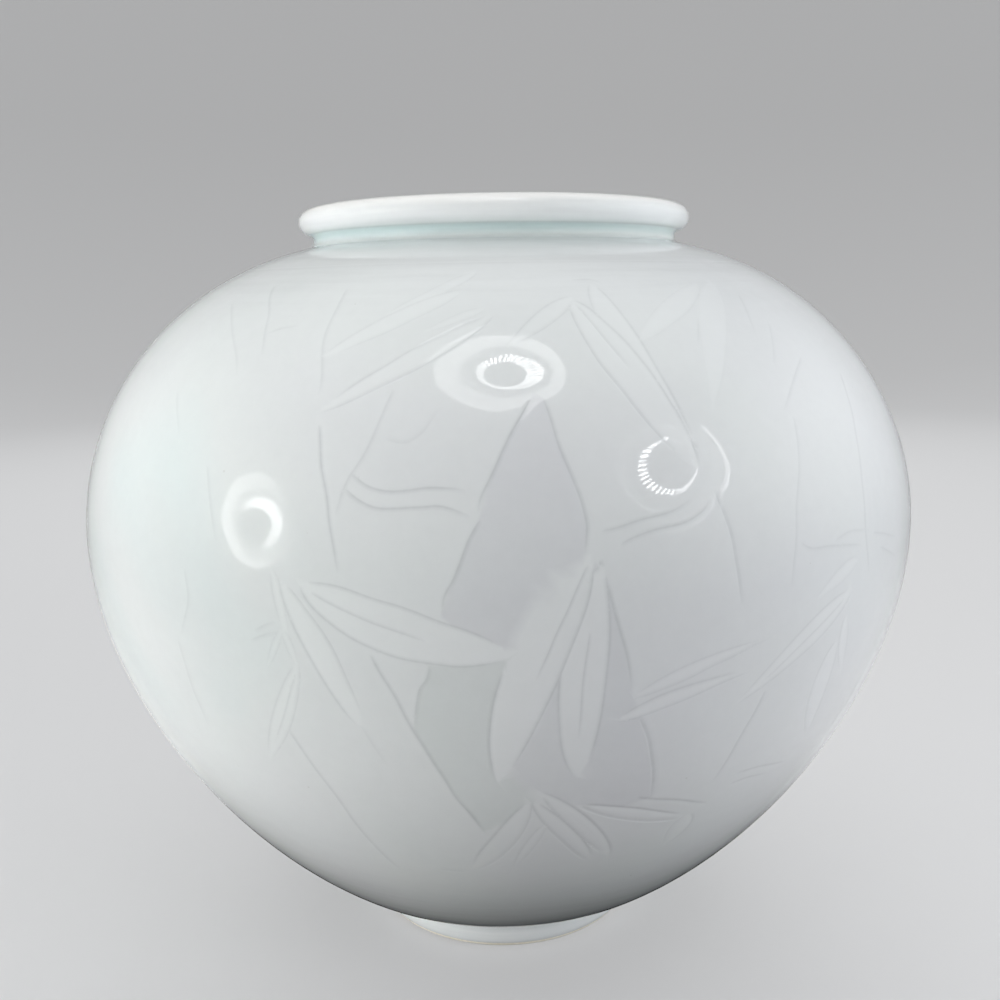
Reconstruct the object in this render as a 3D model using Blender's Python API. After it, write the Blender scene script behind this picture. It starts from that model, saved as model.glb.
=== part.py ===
"""A wheel-thrown porcelain vase with a pale celadon glaze: a wide round shoulder, a short hollowed neck
with a thick rolled lip, and a wall that narrows to a small turned foot ring. One fired clay body carries
three coats of glaze: one on the outside, one on the inside and one under the foot.

Metres, +Z up. The origin is the middle of the foot ring, on the surface that the vase stands on."""

import math

import bmesh
import bpy
from mathutils import Vector

# Outside of the vase, over the glaze
BELLY_RADIUS = 0.155
BELLY_LEVEL = 0.1628  # height of the widest place
SHOULDER_TOP = 0.2635  # height where the shoulder ends at the neck
SHOULDER_SLOPE = math.radians(12.3)  # the shoulder's fall where it leaves the neck
NECK_RADIUS = 0.0684
NECK_ROUND = 0.0026  # radius of the hollow between shoulder and neck
NECK_BAND = 0.0011  # the upright part of the neck
LIP_CORNER = 0.0009  # glaze gathered in the corner under the lip
LIP_HEIGHT = 0.0096
LIP_OVERHANG = 0.0054  # how far the lip stands out from the neck
FOOT_RADIUS = 0.0532  # at the glaze's lower edge
FOOT_FLARE = 0.0013  # how much wider the foot is at its top
FOOT_HEIGHT = 0.0098  # height of the foot's upright face
FOOT_ROUND = 0.0025  # radius of the hollow between foot and wall
FOOT_SLOPE = math.radians(22.5)  # the wall's rise where it leaves the foot

# How full the two curves of the wall are: the length of each curve's handle as a share of its span
SHOULDER_FULL_AT_BELLY = 0.436
SHOULDER_FULL_AT_NECK = 0.649
UNDERSIDE_FULL_AT_BELLY = 0.430
UNDERSIDE_FULL_AT_FOOT = 0.459
FLOOR_FULL = 1 / 3

# Inside of the vase, over the glaze
WALL = 0.0055  # from glaze to glaze, at the neck, shoulder and belly
FOOT_WALL = 0.0080  # the same just above the foot, where the wall is thickest
THROAT_ROUND = 0.0040  # radius of the turn from the throat into the shoulder
FLOOR_THICKNESS = 0.0070

# Under the foot
RING_WIDTH = 0.0075  # of the foot ring, at the glaze's lower edge
RING_TAPER = 0.0012  # how much narrower the recess is at its ceiling
RECESS_DEPTH = 0.0060
RECESS_ROUND = 0.0020
BARE_HEIGHT = 0.0016  # the unglazed part of the foot ring
BARE_CHAMFER = 0.0008

GLAZE = 0.0006  # thickness of each coat
FIT_GAP = 0.0003  # between a coat and its neighbours
LIP_SEAM = math.radians(150)  # where the outside coat ends, from the lip's outer edge over its top
SEAM_GAP = 0.0005  # between the outside coat and the inside one

SEGMENTS = 48  # facets round the vase
SHOULDER_STEPS = 8
UNDERSIDE_STEPS = 9
INSIDE_STEPS = 6
FLOOR_STEPS = 3
ROUND_STEPS = 2
LIP_STEPS = 8
CREASE = math.radians(38)  # sharper edges than this stay sharp in the shading

# Worked out from the sizes above
COAT_DEPTH = GLAZE + FIT_GAP  # the clay lies this far under the glaze's surface
THROAT_RADIUS = NECK_RADIUS - WALL
LIP_MIDDLE = (NECK_RADIUS + LIP_OVERHANG + THROAT_RADIUS) / 2
LIP_HALF_WIDTH = (NECK_RADIUS + LIP_OVERHANG - THROAT_RADIUS) / 2
LIP_START = -math.acos((NECK_RADIUS + LIP_CORNER - LIP_MIDDLE) / LIP_HALF_WIDTH)
NECK_TOP = SHOULDER_TOP + NECK_ROUND * math.cos(SHOULDER_SLOPE) + NECK_BAND
LIP_LEVEL = NECK_TOP + LIP_CORNER - LIP_HEIGHT / 2 * math.sin(LIP_START)
FLOOR_LEVEL = RECESS_DEPTH + FLOOR_THICKNESS

SHOULDER_UP = Vector((math.sin(SHOULDER_SLOPE), math.cos(SHOULDER_SLOPE)))
SHOULDER_OUT = Vector((math.cos(SHOULDER_SLOPE), -math.sin(SHOULDER_SLOPE)))
FOOT_UP = Vector((-math.sin(FOOT_SLOPE), math.cos(FOOT_SLOPE)))
FOOT_OUT = Vector((math.cos(FOOT_SLOPE), math.sin(FOOT_SLOPE)))


def curve(start, start_handle, end_handle, end, steps):
    """Points along one cubic curve, both ends included. The handles are relative to their ends."""
    second = start + start_handle
    third = end + end_handle
    points = []
    for i in range(steps + 1):
        t = i / steps
        points.append(
            start * (1 - t) ** 3
            + second * (3 * t * (1 - t) ** 2)
            + third * (3 * t * t * (1 - t))
            + end * t**3
        )
    return points


def arc(middle, width, height, start, end, steps):
    """Points along part of an ellipse, both ends included."""
    points = []
    for i in range(steps + 1):
        angle = start + (end - start) * i / steps
        points.append(middle + Vector((width * math.cos(angle), height * math.sin(angle))))
    return points


def joined(*runs):
    """Runs of points end to end, each shared point once."""
    points = list(runs[0])
    for run in runs[1:]:
        points.extend(run if (run[0] - points[-1]).length > FIT_GAP / 10 else run[1:])
    return points


def shifted(line, distance):
    """The line moved to the left of its own direction, which is into the clay on every line here."""
    sides = []
    for here, there in zip(line, line[1:]):
        along = (there - here).normalized()
        sides.append(Vector((-along.y, along.x)))
    moved = [line[0] + sides[0] * distance]
    for before, after, point in zip(sides, sides[1:], line[1:]):
        moved.append(point + (before + after) * (distance / (1 + before.dot(after))))
    moved.append(line[-1] + sides[-1] * distance)
    return moved


def foot_top():
    """Where the hollow above the foot meets the wall."""
    out = FOOT_RADIUS + FOOT_FLARE + FOOT_ROUND * (1 - math.sin(FOOT_SLOPE))
    return Vector((out, FOOT_HEIGHT + FOOT_ROUND * math.cos(FOOT_SLOPE)))


def neck_foot():
    """Where the shoulder meets the hollow below the neck."""
    return Vector((NECK_RADIUS + NECK_ROUND * (1 - math.sin(SHOULDER_SLOPE)), SHOULDER_TOP))


def inner_shoulder_end():
    """Where the inside of the shoulder meets the turn into the throat, a wall's thickness down."""
    below = neck_foot() - SHOULDER_UP * WALL
    out = THROAT_RADIUS + THROAT_ROUND * (1 - math.sin(SHOULDER_SLOPE))
    return below + SHOULDER_OUT * ((out - below.x) / SHOULDER_OUT.x)


def underside(foot, belly, steps):
    """The wall's lower curve, from the foot up to the widest place."""
    foot_handle = FOOT_OUT * ((belly.x - foot.x) * UNDERSIDE_FULL_AT_FOOT)
    belly_handle = Vector((0, (foot.y - belly.y) * UNDERSIDE_FULL_AT_BELLY))
    return curve(foot, foot_handle, belly_handle, belly, steps)


def shoulder(belly, neck, steps):
    """The wall's upper curve, from the widest place in to the neck."""
    belly_handle = Vector((0, (neck.y - belly.y) * SHOULDER_FULL_AT_BELLY))
    neck_handle = SHOULDER_OUT * ((belly.x - neck.x) * SHOULDER_FULL_AT_NECK)
    return curve(belly, belly_handle, neck_handle, neck, steps)


def outside_line():
    """The outer surface, from the glaze's lower edge on the foot up to the seam on the lip."""
    foot_edge = Vector((FOOT_RADIUS, BARE_HEIGHT))
    foot_hollow = foot_top() - FOOT_UP * FOOT_ROUND
    hollow_above_foot = arc(
        foot_hollow, FOOT_ROUND, FOOT_ROUND, math.pi, math.pi / 2 + FOOT_SLOPE, ROUND_STEPS
    )
    belly = Vector((BELLY_RADIUS, BELLY_LEVEL))
    neck_hollow = neck_foot() + SHOULDER_UP * NECK_ROUND
    hollow_under_neck = arc(
        neck_hollow, NECK_ROUND, NECK_ROUND, 1.5 * math.pi - SHOULDER_SLOPE, math.pi, ROUND_STEPS
    )
    return joined(
        [foot_edge],
        hollow_above_foot,
        underside(foot_top(), belly, UNDERSIDE_STEPS),
        shoulder(belly, neck_foot(), SHOULDER_STEPS),
        hollow_under_neck,
        [Vector((NECK_RADIUS, NECK_TOP))],
        lip(LIP_START, LIP_SEAM, LIP_STEPS),
    )


def lip(start, end, steps):
    """Part of the rolled lip, from one angle to another about its middle."""
    return arc(Vector((LIP_MIDDLE, LIP_LEVEL)), LIP_HALF_WIDTH, LIP_HEIGHT / 2, start, end, steps)


def inside_line():
    """The inner surface, from the seam on the lip down to the middle of the floor."""
    shoulder_end = inner_shoulder_end()
    throat_turn = arc(
        shoulder_end + SHOULDER_UP * THROAT_ROUND,
        THROAT_ROUND,
        THROAT_ROUND,
        math.pi,
        1.5 * math.pi - SHOULDER_SLOPE,
        ROUND_STEPS,
    )
    belly = Vector((BELLY_RADIUS - WALL, BELLY_LEVEL))
    floor_edge = foot_top() + FOOT_UP * FOOT_WALL
    floor_handle = floor_edge.x * FLOOR_FULL
    floor_middle = Vector((0, FLOOR_LEVEL))
    return joined(
        lip(LIP_SEAM + SEAM_GAP / LIP_HALF_WIDTH, math.pi, ROUND_STEPS),
        throat_turn,
        list(reversed(shoulder(belly, shoulder_end, INSIDE_STEPS))),
        list(reversed(underside(floor_edge, belly, INSIDE_STEPS))),
        curve(
            floor_edge, FOOT_OUT * -floor_handle, Vector((floor_handle, 0)), floor_middle, FLOOR_STEPS
        ),
    )


def base_line():
    """The surface of the recess under the foot, from its middle out and down to the glaze's edge."""
    ring_inside = FOOT_RADIUS - RING_WIDTH
    corner = Vector((ring_inside - RING_TAPER - RECESS_ROUND, RECESS_DEPTH - RECESS_ROUND))
    return joined(
        [Vector((0, RECESS_DEPTH))],
        arc(corner, RECESS_ROUND, RECESS_ROUND, math.pi / 2, 0, ROUND_STEPS),
        [Vector((ring_inside, BARE_HEIGHT))],
    )


def wall_coats():
    """The closed outlines of the two coats on the wall, which part at the seam on the lip."""
    outside = outside_line()
    inside = inside_line()
    beneath = shifted(outside + inside, GLAZE)
    split = len(outside)
    return (
        outside + list(reversed(beneath[:split])),
        inside + list(reversed(beneath[split:])),
    )


def base_coat():
    """The closed outline of the coat under the foot."""
    line = base_line()
    return line + list(reversed(shifted(line, GLAZE)))


def body_outline():
    """The closed outline of the clay body, under its coats and bare where it stands."""
    wall = shifted(outside_line() + inside_line(), COAT_DEPTH)
    base = shifted(base_line(), COAT_DEPTH)
    bare_ring = [
        Vector((base[-1].x, BARE_CHAMFER)),
        Vector((base[-1].x + BARE_CHAMFER, 0)),
        Vector((wall[0].x - BARE_CHAMFER, 0)),
        Vector((wall[0].x, BARE_CHAMFER)),
    ]
    return wall + base + bare_ring


def material(name, color, roughness):
    made = bpy.data.materials.new(name)
    made.use_nodes = True
    shader = made.node_tree.nodes["Principled BSDF"]
    shader.inputs["Base Color"].default_value = (*color, 1)
    shader.inputs["Roughness"].default_value = roughness
    shader.inputs["Metallic"].default_value = 0
    return made


def turned(name, outline, surface):
    """An object made by turning a closed outline of (radius, height) points round the Z axis."""
    shape = bmesh.new()
    points = [shape.verts.new((point.x, 0, point.y)) for point in outline]
    edges = []
    for here, there in zip(points, points[1:] + points[:1]):
        if here.co.x > 0 or there.co.x > 0:
            edges.append(shape.edges.new((here, there)))
    bmesh.ops.spin(
        shape,
        geom=points + edges,
        cent=(0, 0, 0),
        axis=(0, 0, 1),
        angle=2 * math.pi,
        steps=SEGMENTS,
        use_merge=True,
    )
    bmesh.ops.remove_doubles(shape, verts=shape.verts, dist=FIT_GAP / 100)
    bmesh.ops.recalc_face_normals(shape, faces=shape.faces)
    mesh = bpy.data.meshes.new(name)
    shape.to_mesh(mesh)
    shape.free()
    mesh.shade_smooth()
    mesh.set_sharp_from_angle(angle=CREASE)
    mesh.materials.append(surface)
    made = bpy.data.objects.new(name, mesh)
    bpy.context.scene.collection.objects.link(made)
    return made


def main():
    for old in list(bpy.data.objects):
        bpy.data.objects.remove(old, do_unlink=True)
    porcelain = material("porcelain", (0.78, 0.74, 0.64), 0.55)
    celadon = material("celadon_glaze", (0.66, 0.73, 0.73), 0.08)
    outer_coat, inner_coat = wall_coats()
    turned("porcelain_body", body_outline(), porcelain)
    turned("outer_glaze", outer_coat, celadon)
    turned("inner_glaze", inner_coat, celadon)
    turned("base_glaze", base_coat(), celadon)


main()
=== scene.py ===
"""The looks of a pale celadon vase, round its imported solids: the carved and glazed surface, the inside, the
bare foot, the stage and the light. Metres, +Z up. The photographed side faces -Y.

The vase is turned, so a place on it is an angle about +Z and a length along the profile. The profile is held
as complex numbers, radius + height * 1j. Cuts of the knife are laid out on a flat plan of the outside, also
as complex numbers: its x is the angle, and its y grows by length / radius, so that shapes keep their form."""

import math
from collections import namedtuple

import bpy
import numpy as np
from mathutils import Matrix, Vector
from mathutils.geometry import delaunay_2d_cdt
from mathutils.kdtree import KDTree


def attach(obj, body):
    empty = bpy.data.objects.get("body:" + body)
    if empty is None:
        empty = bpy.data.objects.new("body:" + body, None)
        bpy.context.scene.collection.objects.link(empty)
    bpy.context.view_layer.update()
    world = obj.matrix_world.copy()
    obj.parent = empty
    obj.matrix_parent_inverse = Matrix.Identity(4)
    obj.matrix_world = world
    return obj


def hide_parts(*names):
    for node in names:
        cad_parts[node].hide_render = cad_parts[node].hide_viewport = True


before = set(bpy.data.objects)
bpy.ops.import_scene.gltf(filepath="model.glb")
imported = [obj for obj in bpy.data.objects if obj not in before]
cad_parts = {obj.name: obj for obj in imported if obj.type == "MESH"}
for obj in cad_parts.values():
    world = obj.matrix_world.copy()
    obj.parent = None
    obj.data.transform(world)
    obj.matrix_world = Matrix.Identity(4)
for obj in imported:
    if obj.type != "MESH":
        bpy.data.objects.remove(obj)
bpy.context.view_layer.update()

# The photograph's camera, in metres and radians
PHOTO_PIXELS = 1000
FOCAL_PIXELS = 1040
SENSOR_MM = 36
CAMERA_DISTANCE = 0.41176
CAMERA_HEIGHT = 0.24458
CAMERA_PITCH = 0.1922
CAMERA_ROLL = -0.0164
CAMERA_HEADING = -0.0014

# The vase's sizes, as in the source of its solids
BELLY_RADIUS = 0.155
BELLY_LEVEL = 0.1628
SHOULDER_TOP = 0.2635
SHOULDER_SLOPE = math.radians(12.3)
NECK_RADIUS = 0.0684
NECK_ROUND = 0.0026
NECK_BAND = 0.0011
LIP_CORNER = 0.0009
LIP_HEIGHT = 0.0096
LIP_OVERHANG = 0.0054
FOOT_RADIUS = 0.0532
FOOT_FLARE = 0.0013
FOOT_HEIGHT = 0.0098
FOOT_ROUND = 0.0025
FOOT_SLOPE = math.radians(22.5)
SHOULDER_FULL_AT_BELLY = 0.436
SHOULDER_FULL_AT_NECK = 0.649
UNDERSIDE_FULL_AT_BELLY = 0.430
UNDERSIDE_FULL_AT_FOOT = 0.459
FLOOR_FULL = 1 / 3
WALL = 0.0055
FOOT_WALL = 0.0080
THROAT_ROUND = 0.0040
FLOOR_THICKNESS = 0.0070
RING_WIDTH = 0.0075
RING_TAPER = 0.0012
RECESS_DEPTH = 0.0060
RECESS_ROUND = 0.0020
BARE_HEIGHT = 0.0016
BARE_CHAMFER = 0.0008
GLAZE = 0.0006
COAT_DEPTH = 0.0009
LIP_SEAM = math.radians(150)
SEAM_GAP = 0.00004

THROAT_RADIUS = NECK_RADIUS - WALL
LIP_MIDDLE = (NECK_RADIUS + LIP_OVERHANG + THROAT_RADIUS) / 2
LIP_HALF_WIDTH = (NECK_RADIUS + LIP_OVERHANG - THROAT_RADIUS) / 2
LIP_START = -math.acos((NECK_RADIUS + LIP_CORNER - LIP_MIDDLE) / LIP_HALF_WIDTH)
NECK_TOP = SHOULDER_TOP + NECK_ROUND * math.cos(SHOULDER_SLOPE) + NECK_BAND
LIP_LEVEL = NECK_TOP + LIP_CORNER - LIP_HEIGHT / 2 * math.sin(LIP_START)

# Directions, as radius + height * 1j
SHOULDER_UP = math.sin(SHOULDER_SLOPE) + math.cos(SHOULDER_SLOPE) * 1j
SHOULDER_OUT = SHOULDER_UP * -1j
FOOT_UP = -math.sin(FOOT_SLOPE) + math.cos(FOOT_SLOPE) * 1j
FOOT_OUT = FOOT_UP * -1j

COLUMNS = 256
MM = 0.001
BACK = math.pi / 2  # the plan is cut open here, behind the vase
FULL_TURN = 2 * math.pi


def cubic(start, start_handle, end_handle, end, count=400):
    """Points along one cubic curve, whose handles are relative to its ends."""
    t = np.linspace(0, 1, count)
    second = start + start_handle
    third = end + end_handle
    return start * (1 - t) ** 3 + second * 3 * t * (1 - t) ** 2 + third * 3 * t**2 * (1 - t) + end * t**3


def arc(middle, width, height, start, end, count=60):
    """Points along part of an ellipse."""
    angle = np.linspace(start, end, count)
    return middle + width * np.cos(angle) + 1j * height * np.sin(angle)


def rounding(middle, radius, start, end):
    return arc(middle, radius, radius, start, end)


def spot(radius, height):
    return np.array([complex(radius, height)])


def heading(line):
    """A line's direction at each of its points."""
    way = np.gradient(line)
    return way / np.abs(way)


def unit(rows):
    return rows / np.linalg.norm(rows, axis=1, keepdims=True)


def bell(along, middle, width):
    return np.exp(-(((along - middle) / width) ** 2))


def lip(start, end):
    return arc(complex(LIP_MIDDLE, LIP_LEVEL), LIP_HALF_WIDTH, LIP_HEIGHT / 2, start, end)


def underside(foot, belly):
    foot_handle = FOOT_OUT * ((belly - foot).real * UNDERSIDE_FULL_AT_FOOT)
    belly_handle = (foot - belly).imag * UNDERSIDE_FULL_AT_BELLY * 1j
    return cubic(foot, foot_handle, belly_handle, belly)


def shoulder(belly, neck):
    belly_handle = (neck - belly).imag * SHOULDER_FULL_AT_BELLY * 1j
    neck_handle = SHOULDER_OUT * ((belly - neck).real * SHOULDER_FULL_AT_NECK)
    return cubic(belly, belly_handle, neck_handle, neck)


FOOT_TOP = complex(
    FOOT_RADIUS + FOOT_FLARE + FOOT_ROUND * (1 - math.sin(FOOT_SLOPE)),
    FOOT_HEIGHT + FOOT_ROUND * math.cos(FOOT_SLOPE),
)
NECK_FOOT = complex(NECK_RADIUS + NECK_ROUND * (1 - math.sin(SHOULDER_SLOPE)), SHOULDER_TOP)
BELLY = complex(BELLY_RADIUS, BELLY_LEVEL)


def outside_runs():
    """The outer surface, from the glaze's lower edge on the foot up to the seam on the lip."""
    return [
        spot(FOOT_RADIUS, BARE_HEIGHT),
        rounding(FOOT_TOP - FOOT_UP * FOOT_ROUND, FOOT_ROUND, math.pi, math.pi / 2 + FOOT_SLOPE),
        underside(FOOT_TOP, BELLY),
        shoulder(BELLY, NECK_FOOT),
        rounding(NECK_FOOT + SHOULDER_UP * NECK_ROUND, NECK_ROUND, 1.5 * math.pi - SHOULDER_SLOPE, math.pi),
        spot(NECK_RADIUS, NECK_TOP),
        lip(LIP_START, LIP_SEAM),
    ]


def inside_runs():
    """The inner surface, from the seam on the lip down to the middle of the floor."""
    below = NECK_FOOT - SHOULDER_UP * WALL
    out = THROAT_RADIUS + THROAT_ROUND * (1 - math.sin(SHOULDER_SLOPE))
    shoulder_end = below + SHOULDER_OUT * ((out - below.real) / SHOULDER_OUT.real)
    belly = BELLY - WALL
    floor_edge = FOOT_TOP + FOOT_UP * FOOT_WALL
    floor_handle = floor_edge.real * FLOOR_FULL
    floor_middle = (RECESS_DEPTH + FLOOR_THICKNESS) * 1j
    return [
        lip(LIP_SEAM + SEAM_GAP / LIP_HALF_WIDTH, math.pi),
        rounding(
            shoulder_end + SHOULDER_UP * THROAT_ROUND, THROAT_ROUND, math.pi, 1.5 * math.pi - SHOULDER_SLOPE
        ),
        shoulder(belly, shoulder_end)[::-1],
        underside(floor_edge, belly)[::-1],
        cubic(floor_edge, FOOT_OUT * -floor_handle, floor_handle, floor_middle),
    ]


def base_runs():
    """The recess under the foot, from its middle out and down to the glaze's edge."""
    ring_inside = FOOT_RADIUS - RING_WIDTH
    corner = complex(ring_inside - RING_TAPER - RECESS_ROUND, RECESS_DEPTH - RECESS_ROUND)
    return [
        spot(0, RECESS_DEPTH),
        rounding(corner, RECESS_ROUND, math.pi / 2, 0),
        spot(ring_inside, BARE_HEIGHT),
    ]


class Profile:
    """A profile at even steps, its corners softened as glaze softens them, with the normals that face out."""

    STEP = 0.1 * MM
    SOFTNESS = 0.35 * MM

    def __init__(self, runs):
        line = np.concatenate(runs)
        line = line[np.concatenate([[True], np.abs(np.diff(line)) > self.STEP / 1000])]
        length = np.concatenate([[0], np.cumsum(np.abs(np.diff(line)))])
        self.along = np.linspace(0, length[-1], round(length[-1] / self.STEP) + 1)
        even = np.interp(self.along, length, line)
        reach = round(4 * self.SOFTNESS / self.STEP)
        weights = np.exp(-(((np.arange(-reach, reach + 1) * self.STEP) / self.SOFTNESS) ** 2) / 2)
        before = 2 * even[0] - even[reach:0:-1]
        after = 2 * even[-1] - even[-2 : -reach - 2 : -1]
        padded = np.concatenate([before, even, after])
        self.line = np.convolve(padded, weights / weights.sum(), "valid")
        self.tangent = heading(self.line)
        self.normal = self.tangent * -1j
        steps = self.STEP / np.maximum(self.line.real, self.STEP)
        self.rise = np.concatenate([[0], np.cumsum((steps[1:] + steps[:-1]) / 2)])

    def where(self, point):
        """The length along the profile of its place nearest to a point."""
        return self.along[np.argmin(np.abs(self.line - point))]

    def directions(self, angle, along):
        """The surface's normal, its direction round the vase and its direction along the profile."""
        cos, sin = np.cos(angle), np.sin(angle)
        found = []
        for way in (self.normal, self.tangent):
            here = np.interp(along, self.along, way)
            found.append(np.stack([here.real * cos, here.real * sin, here.imag], -1))
        normal, up = found
        return normal, np.stack([-sin, cos, np.zeros_like(sin)], -1), up

    def points(self, angle, along, depth=0.0):
        here = np.interp(along, self.along, self.line) - depth * np.interp(along, self.along, self.normal)
        return np.stack([here.real * np.cos(angle), here.real * np.sin(angle), here.imag], -1)


OUTSIDE = Profile(outside_runs())
INSIDE = Profile(inside_runs())
BASE = Profile(base_runs())
WALL_FOOT = OUTSIDE.where(FOOT_TOP)  # the carved wall starts here, as a length along the outside
WALL_TOP = OUTSIDE.where(NECK_FOOT)


def radius_at(plan):
    return np.interp(plan.imag, OUTSIDE.rise, OUTSIDE.line.real)


def along_at(plan):
    return np.interp(plan.imag, OUTSIDE.rise, OUTSIDE.along)


def on_outside(plan, depth=0.0):
    """The points of the outside at places on the plan."""
    return OUTSIDE.points(plan.real, along_at(plan), depth)


def plan_at(angle, along):
    return angle + 1j * np.interp(along, OUTSIDE.along, OUTSIDE.rise)


def plan_of(degrees, height):
    """The plan's place at an angle to the right of the front, in degrees, and a height in millimetres."""
    wall = (OUTSIDE.along > WALL_FOOT) & (OUTSIDE.along < WALL_TOP)
    along = np.interp(height * MM, OUTSIDE.line.imag[wall], OUTSIDE.along[wall])
    return plan_at(math.radians(degrees) - math.pi / 2, along)


def camera_matrix():
    return (
        Matrix.Translation((0, -CAMERA_DISTANCE, CAMERA_HEIGHT))
        @ Matrix.Rotation(CAMERA_HEADING, 4, "Z")
        @ Matrix.Rotation(math.pi / 2 - CAMERA_PITCH, 4, "X")
        @ Matrix.Rotation(CAMERA_ROLL, 4, "Z")
    )


# How far the wall lies from the camera: a reach that falls short, and where it is looked for, in what steps
SHORT_REACH = 0.1
REACHES = np.arange(0.2, 0.5, 0.001)
HALVINGS = 30


def seen_at(pixels):
    """Where the camera's rays through these pixels meet the wall, as (angle, length along the profile)."""
    place = camera_matrix()
    start = np.array(place.translation)
    turn = np.array(place.to_3x3())
    pixels = np.atleast_2d(np.array(pixels, float))
    half = PHOTO_PIXELS / 2
    local = np.stack([pixels[:, 0] - half, half - pixels[:, 1], np.full(len(pixels), -FOCAL_PIXELS)], -1)
    ways = unit(local @ turn.T)
    wall = (OUTSIDE.along >= WALL_FOOT) & (OUTSIDE.along <= WALL_TOP)
    heights, radii = OUTSIDE.line.imag[wall], OUTSIDE.line.real[wall]

    def outside(reach):
        point = start + ways * reach[:, None]
        return np.hypot(point[:, 0], point[:, 1]) - np.interp(point[:, 2], heights, radii)

    near = np.full(len(pixels), SHORT_REACH)
    far = near.copy()
    for reach in REACHES:
        step = np.full(len(pixels), reach)
        missed = outside(far) > 0
        near = np.where(missed, far, near)
        far = np.where(missed, step, far)
    for _ in range(HALVINGS):
        middle = (near + far) / 2
        out = outside(middle) > 0
        near = np.where(out, middle, near)
        far = np.where(out, far, middle)
    point = start + ways * far[:, None]
    angle = np.arctan2(point[:, 1], point[:, 0])
    angle = np.where(angle > BACK, angle - FULL_TURN, angle)
    return angle, np.interp(point[:, 2], heights, OUTSIDE.along[wall])


def seen_plan(pixels):
    return plan_at(*seen_at(pixels))


# A cut of the knife: its path on the plan, its depth as a share of the deepest, the scale of its section, the
# side on which it slopes out slowly (1 is the left of its direction, -1 the right) and whether it tapers
Cut = namedtuple("Cut", "path strength scale side tapered", defaults=(True,))
# A leaf: rib is the rib's place across the leaf and its two ends along it, or None; bare is how far along it
# its left edge starts
Leaf = namedtuple("Leaf", "base tip width bend rib strength widest bare", defaults=(0.36, 0.0))
# An area's outline on the plan, how much thicker its glaze is, and its cast: -1 is teal and 1 is lavender
Area = namedtuple("Area", "outline glaze cast")

# The section across a cut, from its steep side to its slow one. The mesh has a row of points at each place.
SECTION_AT = np.array([-0.95, -0.45, 0.0, 0.5, 1.15, 2.4]) * MM
SECTION_DEPTH = np.array([0.0, 0.12, 1.0, 0.66, 0.25, 0.0])
SECTION_GLAZE = np.array([0.0, 0.1, 1.0, 0.5, 0.06, 0.0])
CUT_DEPTH = 0.14 * MM
CUT_GLAZE = 0.38  # how much thicker the glaze pools in the deepest cut
LEAF_GLAZE = -0.09  # and how much thinner it lies on a leaf
CUT_STEP = 1.1 * MM  # between the mesh's points along a cut
GRID_STEP = 4.2 * MM  # between its points elsewhere
CUT_CLEARANCE = 2.3 * MM
LEAST_APART = 0.3 * MM
LEAF_ROUNDNESS = 0.62
LEAF_WANDER, EDGE_WANDER, CULM_WANDER, JOINT_WANDER = 0.07 * MM, 0.1 * MM, 0.12 * MM, 0.15 * MM
KNIFE_WAVES = 14, 40  # millimetres from one wave of the hand to the next
SHORTEST_RUN = 6  # points; a shorter remnant of a cut is left out
KNIFE_IN, KNIFE_OUT = 3 * MM, 7 * MM  # over these the knife goes in and comes out
UNCARVED_FOOT, UNCARVED_NECK, UNCARVED_SEAM = 4 * MM, 3 * MM, 3.5 * MM
RING_CLEARANCE = 1.5 * MM
ROW_STEP = GRID_STEP * 0.87
LEAF_EDGE, AREA_EDGE = 0.8 * MM, 0.9 * MM  # how soft the edges of their glaze are

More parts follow.
